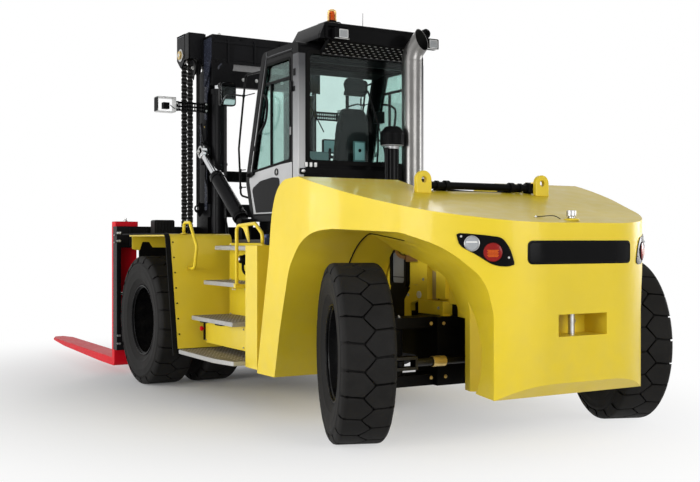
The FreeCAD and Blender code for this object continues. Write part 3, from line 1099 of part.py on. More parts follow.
# ---------------------------------------------------------------- write the pieces
def build():
    counterweight, rear_fenders = rear_body()
    drive_tyres, drive_rims = drive_wheels()
    base, cushion, lean, head = seat()
    left_steps = steps()
    left_rails = handrails()
    rear_tyre = tyre(STEER_HALF_TRACK, Y_STEER)
    door, pane = cab_door(), door_glass()
    return {
        "chassis_frame": chassis_frame(),
        "mast_pivot_shaft": mast_pivot(),
        "tilt_cylinder_clevises": pair(tilt_base()),
        "drive_axle": drive_axle(),
        "steer_axle": steer_axle(),
        "engine_block": engine_block(),
        "counterweight": counterweight,
        "rear_fenders": rear_fenders,
        "lifting_eyes": lifting_eyes(),
        "tow_pin": tow_pin(),
        "front_fenders": pair(front_fender()),
        "mudguards": pair(mudguard()),
        "step_housings": pair(step_housing()),
        "steps": Part.makeCompound(left_steps + [mirrored(s) for s in left_steps]),
        "handrails": Part.makeCompound(left_rails + [mirrored(s) for s in left_rails]),
        "deck_plate": deck_plate(),
        "head_lamps": pair(head_lamp()),
        "cab_shell": cab_shell(),
        "cab_windows": cab_windows(),
        "roof_visor": roof_visor(),
        "roof_lights": roof_lights(),
        "mirrors": pair(mirrors()),
        "seat_frame": base,
        "seat_cushion": cushion,
        "seat_backrest": Part.makeCompound([lean, head]),
        "dashboard": dashboard(),
        "hood_hinge_tube": hood_hinge(),
        "exhaust_stack": exhaust_stack(),
        "air_cleaner": air_cleaner(),
        "steering_wheel": steering_wheel(),
        "engine_hood": engine_hood(),
        "left_door": door,
        "left_door_glass": pane,
        "right_door": mirrored(door),
        "right_door_glass": mirrored(pane),
        "outer_mast": outer_mast(),
        "lift_cylinders": pair(lift_cylinder()),
        "mast_lamps": pair(mast_lamp()),
        "rear_chain_legs": pair(chain_leg(1, ANCHOR_Z)),
        "inner_mast": inner_mast(),
        "lift_rods": pair(lift_rod()),
        "chain_sheaves": pair(chain_sheave()),
        "front_chain_legs": pair(chain_leg(-1, CARRIAGE_Z1)),
        "carriage": carriage(),
        "left_fork": fork(),
        "right_fork": mirrored(fork()),
        "tilt_barrels": pair(tilt_barrel()),
        "tilt_rods": pair(tilt_rod()),
        "left_drive_tyres": drive_tyres,
        "left_drive_hub": drive_rims,
        "right_drive_tyres": mirrored(drive_tyres),
        "right_drive_hub": mirrored(drive_rims),
        "left_knuckle": steered(knuckle(1)),
        "right_knuckle": steered(knuckle(-1), -1),
        "left_steer_tyre": steered(rear_tyre),
        "left_steer_hub": steered(steer_hub(1)),
        "right_steer_tyre": steered(mirrored(rear_tyre), -1),
        "right_steer_hub": steered(steer_hub(-1), -1),
        "steering_rod": steering_rod(),
    }


os.makedirs("parts", exist_ok=True)
for name, shape in build().items():
    if not shape.isValid():
        print("not valid:", name)
    print(name, len(shape.Solids), round(shape.Volume / 1e9, 4))
    shape.exportStep("parts/" + name + ".step")
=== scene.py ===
import json
import math

import bmesh
import bpy
from mathutils import Matrix, Vector
from mathutils.bvhtree import BVHTree


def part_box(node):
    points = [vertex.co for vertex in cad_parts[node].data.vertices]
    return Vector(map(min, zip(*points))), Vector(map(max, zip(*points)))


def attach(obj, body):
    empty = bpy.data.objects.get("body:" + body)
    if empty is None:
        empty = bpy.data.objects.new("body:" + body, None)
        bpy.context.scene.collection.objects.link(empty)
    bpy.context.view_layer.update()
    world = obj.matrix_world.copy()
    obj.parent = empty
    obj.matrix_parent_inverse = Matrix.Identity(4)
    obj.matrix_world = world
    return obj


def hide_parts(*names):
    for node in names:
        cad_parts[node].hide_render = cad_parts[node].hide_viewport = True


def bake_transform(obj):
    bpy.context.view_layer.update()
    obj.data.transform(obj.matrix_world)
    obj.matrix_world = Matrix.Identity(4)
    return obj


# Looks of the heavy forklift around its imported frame. Metres; forks to -Y, the operator's left is +X.
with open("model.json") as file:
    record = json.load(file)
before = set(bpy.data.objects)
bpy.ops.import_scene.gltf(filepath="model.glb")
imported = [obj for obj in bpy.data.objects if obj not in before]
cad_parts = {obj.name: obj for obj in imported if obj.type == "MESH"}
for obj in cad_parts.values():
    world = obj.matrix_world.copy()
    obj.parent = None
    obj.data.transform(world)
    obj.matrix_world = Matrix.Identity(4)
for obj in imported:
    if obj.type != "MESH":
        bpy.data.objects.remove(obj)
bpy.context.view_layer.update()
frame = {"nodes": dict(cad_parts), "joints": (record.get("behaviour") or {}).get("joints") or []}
JOINTS = {joint["name"]: joint for joint in frame["joints"]}

LEFT = Vector((1, 0, 0))
BACK = Vector((0, 1, 0))
UP = Vector((0, 0, 1))
BEVEL_SPREAD = math.radians(32)     # edges sharper than this are rounded


# ---------------------------------------------------------------- places read from the frame
def low(node):
    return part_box(node)[0]


def high(node):
    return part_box(node)[1]


def centre(node):
    lo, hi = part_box(node)
    return (lo + hi) / 2


def slice_box(node, test):
    """Box of the corners of a node that pass a test."""
    points = [v.co for v in frame["nodes"][node].data.vertices if test(v.co)]
    lo = Vector(min(p[i] for p in points) for i in range(3))
    hi = Vector(max(p[i] for p in points) for i in range(3))
    return lo, hi


def surface_of(node):
    """Search tree of a node's faces."""
    mesh = frame["nodes"][node].data
    return BVHTree.FromPolygons([v.co for v in mesh.vertices], [p.vertices[:] for p in mesh.polygons])


Y_DRIVE = centre("left_drive_tyres").y
AXLE_Z = centre("left_drive_tyres").z
TYRE_RADIUS = high("left_drive_tyres").z - AXLE_Z
CAB_REAR = slice_box("cab_shell", lambda p: p.z > 3)[1].y
CAB_SIDE = slice_box("cab_shell", lambda p: p.z > 3.8)[1].x
FRONT_FENDER_TOP = high("front_fenders").z


# ---------------------------------------------------------------- mesh kit
def rounded(points, steps=5):
    """Outline through points (u, v) or (u, v, corner radius), with its corners turned into arcs."""
    out = []
    count = len(points)
    for i, point in enumerate(points):
        here = Vector(point[:2])
        radius = point[2] if len(point) > 2 else 0.0
        if radius <= 0:
            out.append(here)
            continue
        before = (Vector(points[i - 1][:2]) - here).normalized()
        after = (Vector(points[(i + 1) % count][:2]) - here).normalized()
        half = before.angle(after) / 2
        middle = here + (before + after).normalized() * (radius / math.sin(half))
        start = here + before * (radius / math.tan(half)) - middle
        end = here + after * (radius / math.tan(half)) - middle
        turn = start.angle_signed(end)
        for k in range(steps + 1):
            angle = -turn * k / steps
            c, s = math.cos(angle), math.sin(angle)
            out.append(middle + Vector((start.x * c - start.y * s, start.x * s + start.y * c)))
    return out


def rectangle(u0, u1, v0, v1, radius=0.0):
    return [(u0, v0, radius), (u1, v0, radius), (u1, v1, radius), (u0, v1, radius)]


def circle(radius, count, u=0.0, v=0.0):
    """Points on a circle round (u, v)."""
    turns = [2 * math.pi * k / count for k in range(count)]
    return [(u + radius * math.cos(a), v + radius * math.sin(a)) for a in turns]


def plane_x(x):
    """Maps (u, v, w) to (x + w, u, v)."""
    return Matrix(((0, 0, 1, x), (1, 0, 0, 0), (0, 1, 0, 0), (0, 0, 0, 1)))


def plane_y(y):
    """Maps (u, v, w) to (u, y + w, v)."""
    return Matrix(((1, 0, 0, 0), (0, 0, 1, y), (0, 1, 0, 0), (0, 0, 0, 1)))


def upright(x, y, z):
    """Maps (u, v, w) to (x + u, y + v, z + w)."""
    return Matrix.Translation((x, y, z))


def plane_z(z):
    return upright(0, 0, z)


def stand(at, axis, hint=UP):
    """Place whose local Z runs along an axis."""
    z = Vector(axis).normalized()
    x = Vector(hint).cross(z)
    if x.length < 1e-4:
        x = Vector((1, 0, 0)).cross(z)
    x.normalize()
    y = z.cross(x)
    turn = Matrix((x, y, z)).transposed().to_4x4()
    return Matrix.Translation(Vector(at)) @ turn


def smooth_line(points, steps=6):
    """Even curve through points."""
    pts = [Vector(p) for p in points]
    if len(pts) < 3:
        return pts
    full = [2 * pts[0] - pts[1]] + pts + [2 * pts[-1] - pts[-2]]
    out = []
    for i in range(1, len(full) - 2):
        a, b, c, d = full[i - 1:i + 3]
        for k in range(steps):
            t = k / steps
            out.append(0.5 * ((2 * b) + (c - a) * t + (2 * a - 5 * b + 4 * c - d) * t ** 2
                              + (3 * b - a - 3 * c + d) * t ** 3))
    out.append(pts[-1])
    return out


class Build:
    """One mesh of many shapes; each takes the material named last, and may stand on both sides."""

    def __init__(self, material, mirror=False):
        self.mesh = bmesh.new()
        self.materials = []
        self.mirror = mirror
        self.use(material)

    def use(self, material):
        if material not in self.materials:
            self.materials.append(material)
        self.current = self.materials.index(material)

    def add(self, points, faces, at=None):
        for side in ((1, -1) if self.mirror else (1,)):
            verts = []
            for point in points:
                p = at @ Vector(point) if at is not None else Vector(point)
                verts.append(self.mesh.verts.new((side * p.x, p.y, p.z)))
            for face in faces:
                made = self.mesh.faces.new([verts[i] for i in face])
                made.material_index = self.current
                made.smooth = True

    def box(self, x0, x1, y0, y1, z0, z1, at=None):
        points = [(x, y, z) for z in (z0, z1) for y in (y0, y1) for x in (x0, x1)]
        faces = [(0, 1, 3, 2), (4, 6, 7, 5), (0, 4, 5, 1), (2, 3, 7, 6), (0, 2, 6, 4), (1, 5, 7, 3)]
        self.add(points, faces, at)

    def prism(self, outline, w0, w1, at=None, steps=5):
        """Outline in the place's plane, its corners rounded, run from w0 to w1 along the third axis."""
        outline = rounded(outline, steps)
        n = len(outline)
        points = [(p[0], p[1], w) for w in (w0, w1) for p in outline]
        faces = [tuple(range(n)), tuple(range(2 * n - 1, n - 1, -1))]
        faces += [(i, (i + 1) % n, n + (i + 1) % n, n + i) for i in range(n)]
        self.add(points, faces, at)

    def frame(self, outer, inner, w0, w1, at=None, steps=5):
        """Flat ring between two outlines with the same number of points."""
        outer, inner = rounded(outer, steps), rounded(inner, steps)
        n = len(outer)
        points = [(p[0], p[1], w) for w in (w0, w1) for line in (outer, inner) for p in line]
        faces = []
        for i in range(n):
            j = (i + 1) % n
            a, b, c, d = i, j, n + j, n + i
            e, f, g, h = 2 * n + i, 2 * n + j, 3 * n + j, 3 * n + i
            faces += [(a, b, c, d), (h, g, f, e), (a, e, f, b), (d, c, g, h)]
        self.add(points, faces, at)

    def turn(self, profile, at, segments=48, closed=True):
        """Solid of revolution about the place's third axis; the profile holds (along, radius)."""
        points, rows = [], []
        for along, radius in profile:
            if radius < 1e-6:
                rows.append([len(points)] * segments)
                points.append((0, 0, along))
                continue
            rows.append(range(len(points), len(points) + segments))
            for k in range(segments):
                angle = 2 * math.pi * k / segments
                points.append((radius * math.cos(angle), radius * math.sin(angle), along))
        faces = []
        count = len(rows)
        for i in range(count if closed else count - 1):
            a, b = rows[i], rows[(i + 1) % count]
            for k in range(segments):
                m = (k + 1) % segments
                corners = [a[k], a[m], b[m], b[k]]
                face = tuple(dict.fromkeys(corners))
                if len(face) > 2:
                    faces.append(face)
        self.add(points, faces, at)

    def cap(self, profile, at, segments=48):
        """Solid of revolution whose two ends are closed by flat faces."""
        self.turn([(profile[0][0], 0), *profile, (profile[-1][0], 0)], at, segments, False)

    def sleeve(self, start, end, bore, radius, at, segments=48):
        self.turn([(start, bore), (start, radius), (end, radius), (end, bore)], at, segments)

    def rod(self, start, end, radius, segments=20, end_radius=None):
        start, end = Vector(start), Vector(end)
        length = (end - start).length
        tip = radius if end_radius is None else end_radius
        self.cap([(0, radius), (length, tip)], stand(start, end - start), segments)

    def tube(self, points, radius, segments=10, steps=6):
        """Round bar or hose along a smooth line."""
        line = smooth_line(points, steps) if steps else [Vector(p) for p in points]
        ahead = (line[1] - line[0]).normalized()
        side = ahead.orthogonal().normalized()
        verts = []
        for i, p in enumerate(line):
            new = (line[min(i + 1, len(line) - 1)] - line[max(i - 1, 0)]).normalized()
            side = (side - new * side.dot(new)).normalized()
            other = new.cross(side)
            for k in range(segments):
                angle = 2 * math.pi * k / segments
                verts.append(p + (side * math.cos(angle) + other * math.sin(angle)) * radius)
        n = len(line)
        faces = [tuple(range(segments)), tuple(range(n * segments - 1, (n - 1) * segments - 1, -1))]
        for i in range(n - 1):
            for k in range(segments):
                m = (k + 1) % segments
                faces.append((i * segments + k, i * segments + m, (i + 1) * segments + m,
                              (i + 1) * segments + k))
        self.add(verts, faces)

    def bolt(self, at, axis, size, washer=True):
        """Hexagon head of a width across corners, with a washer and the end of its stud."""
        place = stand(at, axis)
        if washer:
            self.cap([(0, 0.72 * size), (0.12 * size, 0.72 * size)], place, 16)
        self.prism(circle(0.5 * size, 6), 0.1 * size, 0.5 * size, place)
        stud = ((0.45, 0.24), (0.66, 0.24), (0.7, 0.18))
        self.cap([(along * size, radius * size) for along, radius in stud], place, 12)

    def blanket(self, corner, across, along, thick):
        """Closed sheet over a grid: corner(i, j) gives (point, normal) of its under face."""
        points = []
        for lift in (0, thick):
            for i in range(across):
                for j in range(along):
                    p, n = corner(i, j)
                    points.append(p + n * lift)
        size = across * along
        faces = []
        for i in range(across - 1):
            for j in range(along - 1):
                a, b, c, d = i * along + j, i * along + j + 1, (i + 1) * along + j + 1, (i + 1) * along + j
                faces += [(d, c, b, a), (size + a, size + b, size + c, size + d)]
        edge = [i * along for i in range(across)] + [(across - 1) * along + j for j in range(1, along)]
        edge += [i * along + along - 1 for i in range(across - 2, -1, -1)] + list(range(along - 2, 0, -1))
        for k, a in enumerate(edge):
            b = edge[(k + 1) % len(edge)]
            faces.append((a, b, size + b, size + a))
        self.add(points, faces)

    def piece(self, name, body, bevel=0.0, replaces=()):
        """Makes the object, rounds its sharp edges and hands it to a body."""
        bmesh.ops.recalc_face_normals(self.mesh, faces=self.mesh.faces)
        mesh = bpy.data.meshes.new(name)
        self.mesh.to_mesh(mesh)
        self.mesh.free()
        for key in self.materials:
            mesh.materials.append(M[key])
        obj = bpy.data.objects.new(name, mesh)
        bpy.context.scene.collection.objects.link(obj)
        soften(obj, bevel)
        if body:
            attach(obj, body)
        for node in replaces:
            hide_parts(node)
        return obj


def soften(obj, bevel, segments=2):
    """Rounds sharp edges and evens the shading of flat faces."""
    if bevel > 0:
        mod = obj.modifiers.new("edges", "BEVEL")
        mod.width = bevel
        mod.segments = segments
        mod.limit_method = "ANGLE"
        mod.angle_limit = BEVEL_SPREAD
        mod.use_clamp_overlap = True
    mod = obj.modifiers.new("shading", "WEIGHTED_NORMAL")
    mod.keep_sharp = True


def dress(node, material, bevel=0.003, segments=2):
    """Gives a CAD node its finish: coplanar facets merged, sharp edges rounded, a material."""
    obj = frame["nodes"][node]
    mesh = obj.data
    custom = mesh.attributes.get("custom_normal")
    if custom is not None:
        mesh.attributes.remove(custom)
    mesh.materials.clear()
    mesh.materials.append(material)
    for polygon in mesh.polygons:
        polygon.use_smooth = True
    mod = obj.modifiers.new("weld", "WELD")
    mod.merge_threshold = 0.00005
    mod = obj.modifiers.new("facets", "DECIMATE")
    mod.decimate_type = "DISSOLVE"
    mod.angle_limit = math.radians(0.6)
    soften(obj, bevel, segments)
    return obj


# ---------------------------------------------------------------- materials
class Shade:
    """Short way to lay out the nodes of a material or of the world; colours are linear RGB."""

    def __init__(self, name, kind="Material"):
        owners = bpy.data.worlds if kind == "World" else bpy.data.materials
        self.owner = owners.new(name)
        self.owner.use_nodes = True
        self.tree = self.owner.node_tree
        self.tree.nodes.clear()
        self.out = self.node("Output" + kind)
        self.spots = self.node("TexCoord").outputs
        self.place = self.spots["Object"]

    def node(self, kind, **settings):
        made = self.tree.nodes.new("ShaderNode" + kind)
        for key, value in settings.items():
            setattr(made, key, value)
        return made

    def put(self, socket, value):
        """Links an output to a socket, or sets the socket's own value."""
        if isinstance(value, bpy.types.NodeSocket):
            self.tree.links.new(value, socket)
        elif isinstance(value, tuple) and len(value) == 3 and socket.type == "RGBA":
            socket.default_value = (*value, 1)
        else:
            socket.default_value = value
        return socket

    def stretched(self, scale, turn=(0, 0, 0)):
        mapping = self.node("Mapping")
        self.put(mapping.inputs["Vector"], self.place)
        self.put(mapping.inputs["Rotation"], turn)
        self.put(mapping.inputs["Scale"], scale)
        return mapping.outputs["Vector"]

    def noise(self, scale, detail=3.0, place=None, rough=0.55):
        made = self.node("TexNoise")
        self.put(made.inputs["Vector"], place or self.place)
        self.put(made.inputs["Scale"], scale)
        self.put(made.inputs["Detail"], detail)
        self.put(made.inputs["Roughness"], rough)
        return made.outputs["Fac"]

    def range(self, value, low_in, high_in, low_out=0, high_out=1, **settings):
        made = self.node("MapRange", **settings)
        for socket, number in zip(made.inputs, (value, low_in, high_in, low_out, high_out)):
            self.put(socket, number)
        return made.outputs["Result"]

    def cloud(self, scale, detail, low=0.35, high=0.7, low_out=0, high_out=1):
        return self.range(self.noise(scale, detail), low, high, low_out, high_out)

    def math(self, operation, a, b=0.0):
        made = self.node("Math", operation=operation)
        self.put(made.inputs[0], a)
        self.put(made.inputs[1], b)
        return made.outputs[0]

    def wave(self, value, count):
        return self.math("SINE", self.math("MULTIPLY", value, count))

    def mix(self, factor, a, b):
        made = self.node("Mix", data_type="RGBA")
        self.put(made.inputs["Factor"], factor)
        self.put(made.inputs[6], a)
        self.put(made.inputs[7], b)
        return made.outputs[2]

    def tones(self, factor, colour, dark, pale):
        return self.mix(factor, scaled(colour, dark), scaled(colour, pale))

    def axes(self, place=None):
        """The X, Y and Z of a place."""
        split = self.node("SeparateXYZ")
        self.put(split.inputs[0], place or self.place)
        return split.outputs

    def bump(self, height, strength, distance, under=None):
        made = self.node("Bump")
        self.put(made.inputs["Height"], height)
        self.put(made.inputs["Strength"], strength)
        self.put(made.inputs["Distance"], distance)
        if under is not None:
            self.put(made.inputs["Normal"], under)
        return made.outputs["Normal"]

    def shader(self, kind, **values):
        """A shader with its inputs set; an underscore in an input's name stands for a space."""
        made = self.node(kind)
        for name, value in values.items():
            self.put(made.inputs[name.replace("_", " ")], value)
        return made.outputs[0]

    def blend(self, factor, first, second):
        made = self.node("MixShader")
        for socket, value in zip(made.inputs, (factor, first, second)):
            self.put(socket, value)
        return made.outputs[0]

    def seen(self):
        """One for the camera's rays, straight or by way of gloss and glass; nought for the rest."""
        path = self.node("LightPath").outputs
        straight = self.math("MAXIMUM", path["Is Camera Ray"], path["Is Glossy Ray"])
        return self.math("MAXIMUM", straight, path["Is Transmission Ray"])

    def end(self, surface):
        self.put(self.out.inputs["Surface"], surface)
        return self.owner

    def principled(self, base, rough, **others):
        return self.end(self.shader("BsdfPrincipled", Base_Color=base, Roughness=rough, **others))


def scaled(colour, factor):
    return tuple(min(1.0, c * factor) for c in colour)


def finish(name, colour, rough=0.45, metal=0.0, coat=0.0, tone=0.08, tone_scale=2.2, rough_vary=0.06,
           grain=0.15, grain_scale=260.0, grain_depth=0.0004, dust=0.0, brushed=None, worn=0.0,
           worn_colour=(0.35, 0.35, 0.35), spec=0.4, fade=None):
    """Painted, cast, plated or moulded surface: cloudy tone, uneven gloss, fine bump, worn edges.

    Dust lies low down; fade is (foot, top, colour) for a colour that comes in with height.
    """
    s = Shade(name)
    base = s.tones(s.cloud(tone_scale, 5.0, 0.3, 0.7), colour, 1 - tone, 1 + tone)
    if worn:
        point = s.node("NewGeometry").outputs["Pointiness"]
        uneven = s.cloud(35.0, 3.0, 0.3, 0.7, 0.985, 1.015)
        base = s.mix(s.range(s.math("MULTIPLY", point, uneven), 0.53, 0.6, 0, worn), base, worn_colour)
    if dust:
        level = s.range(s.axes()["Z"], 0.15, 1.6, 1.0, 0.15)
        patch = s.cloud(7.0, 6.0, 0.38, 0.72, 0.0, dust)
        base = s.mix(s.math("MULTIPLY", level, patch), base, DUST)
    if fade:
        base = s.mix(s.range(s.axes()["Z"], fade[0], fade[1]), base, fade[2])
    gloss = s.cloud(grain_scale * 0.2, 3.0, 0.3, 0.7, max(0.02, rough - rough_vary), rough + rough_vary)
    height = s.noise(90.0, 3.0, s.stretched(brushed)) if brushed else s.noise(grain_scale, 2.0)
    return s.principled(base, gloss, Metallic=metal, Specular_IOR_Level=spec, Coat_Weight=coat,
                        Coat_Roughness=0.08, Normal=s.bump(height, grain, grain_depth))


def tread_rubber(name, colour):
    """Tyre rubber: dry scuffed tops, fine mould grain and pale specks."""
    s = Shade(name)
    cloud = s.cloud(5.0, 6.0)
    speck = s.cloud(160.0, 2.0, 0.55, 0.75)
    base = s.tones(cloud, colour, 0.75, 1.35)
    base = s.mix(s.math("MULTIPLY", speck, 0.25), base, scaled(colour, 2.6))
    under = s.bump(s.noise(420.0, 2.0), 0.35, 0.0006)
    return s.principled(base, s.range(cloud, 0, 1, 0.62, 0.8), Specular_IOR_Level=0.09,
                        Normal=s.bump(s.noise(26.0, 4.0), 0.25, 0.002, under))


def spangled(name, colour):
    """Hot-dip galvanised plate: crystal patches of slightly different grey."""
    s = Shade(name)
    cells = s.node("TexVoronoi")
    s.put(cells.inputs["Vector"], s.place)
    s.put(cells.inputs["Scale"], 55.0)
    tone = s.node("RGBToBW")
    s.put(tone.inputs[0], cells.outputs["Color"])
    patch = tone.outputs[0]
    base = s.tones(patch, colour, 0.86, 1.1)
    base = s.mix(s.cloud(4.0, 5.0, 0.4, 0.7, 0, 0.3), base, scaled(colour, 0.72))
    return s.principled(base, s.range(patch, 0, 1, 0.38, 0.55), Metallic=0.35,
                        Normal=s.bump(s.noise(190.0), 0.2, 0.0005))


def chequered(name, colour):
    """Walkway plate with raised diamond bars."""
    s = Shade(name)
    bars = []
    for turn in (45, -45):
        cells = s.node("TexVoronoi", feature="F1", distance="EUCLIDEAN")
        s.put(cells.inputs["Vector"], s.stretched((1, 0.38, 0.05), (0, 0, math.radians(turn))))
        s.put(cells.inputs["Scale"], 38.0)
        s.put(cells.inputs["Randomness"], 0.0)
        bars.append(s.range(cells.outputs["Distance"], 0.12, 0.2, 1, 0))
    height = s.math("MAXIMUM", *bars)
    base = s.tones(s.cloud(6.0, 5.0), colour, 0.8, 1.3)
    base = s.mix(s.math("MULTIPLY", height, 0.35), base, scaled(colour, 3.5))
    return s.principled(base, s.range(height, 0, 1, 0.55, 0.4), Normal=s.bump(height, 0.6, 0.003))


def grating(name, colour):
    """Step surface: a fine grid of raised pale crests over darker troughs."""
    s = Shade(name)
    axes = s.axes()
    ridges = [s.wave(axes[axis], 2 * math.pi / pitch) for axis, pitch in (("X", 0.021), ("Y", 0.03))]
    crest = s.range(s.math("MAXIMUM", *ridges), 0.55, 0.95)
    cloud = s.cloud(7.0, 5.0)
    base = s.mix(crest, s.tones(cloud, colour, 0.45, 0.8), scaled(colour, 2.1))
    return s.principled(base, s.range(cloud, 0, 1, 0.45, 0.6), Metallic=0.3,
                        Normal=s.bump(crest, 0.5, 0.0025))


def woven(name, dark, pale, count):
    """Plain upholstery weave from two crossed wave patterns, with a soft sheen."""
    s = Shade(name)
    threads = []
    for axis in ((1, 0, 0.35), (0, 1, 0.35)):
        split = s.node("VectorMath", operation="DOT_PRODUCT")
        s.put(split.inputs[0], s.place)
        s.put(split.inputs[1], axis)
        threads.append(s.range(s.wave(split.outputs["Value"], count), -1, 1))
    weave = s.math("MULTIPLY", *threads)
    cloud = s.noise(9.0, 4.0)
    base = s.mix(s.range(cloud, 0.35, 0.7, 0, 0.25), s.mix(weave, dark, pale), scaled(pale, 1.3))
    return s.principled(base, s.range(cloud, 0, 1, 0.8, 0.95), Sheen_Weight=0.25, Sheen_Roughness=0.4,
                        Normal=s.bump(weave, 0.5, 0.0012))


def clear(name, tint, gloss_rough=0.03, smear=0.12):
    """Thin glass: tinted see-through light with a Fresnel reflection and a faint film of smears."""
    s = Shade(name)
    film = s.cloud(5.0, 6.0, 0.45, 0.75, 0, smear)
    through = s.shader("BsdfTransparent", Color=s.mix(film, tint, scaled(tint, 0.9)))
    shine = s.shader("BsdfGlossy", Roughness=s.range(film, 0, smear, gloss_rough, gloss_rough + 0.08))
    return s.end(s.blend(s.range(s.shader("Fresnel", IOR=1.45), 0, 1, 0.0, 0.35), through, shine))


def lens(name, colour, rough=0.08, count=600.0, glow=0.0):
    """Moulded lamp lens with fine prisms behind a smooth face."""
    s = Shade(name)
    axes = s.axes()
    prism = s.range(s.math("MULTIPLY", s.wave(axes["Z"], count), s.wave(axes["X"], count)), -1, 1)
    light = {"Emission_Color": colour, "Emission_Strength": glow} if glow else {}
    return s.principled(s.tones(prism, colour, 0.75, 1.15), s.range(prism, 0, 1, rough, rough + 0.1),
                        Specular_IOR_Level=0.15, Coat_Weight=0.1, Coat_Roughness=0.04,
                        Normal=s.bump(prism, 0.3, 0.001), **light)


DUST = (0.42, 0.38, 0.31)
YELLOW_PAINT = (0.765, 0.575, 0.024)
PALE_EDGE = (0.86, 0.72, 0.22)
GREY_EDGE = (0.02, 0.02, 0.021)
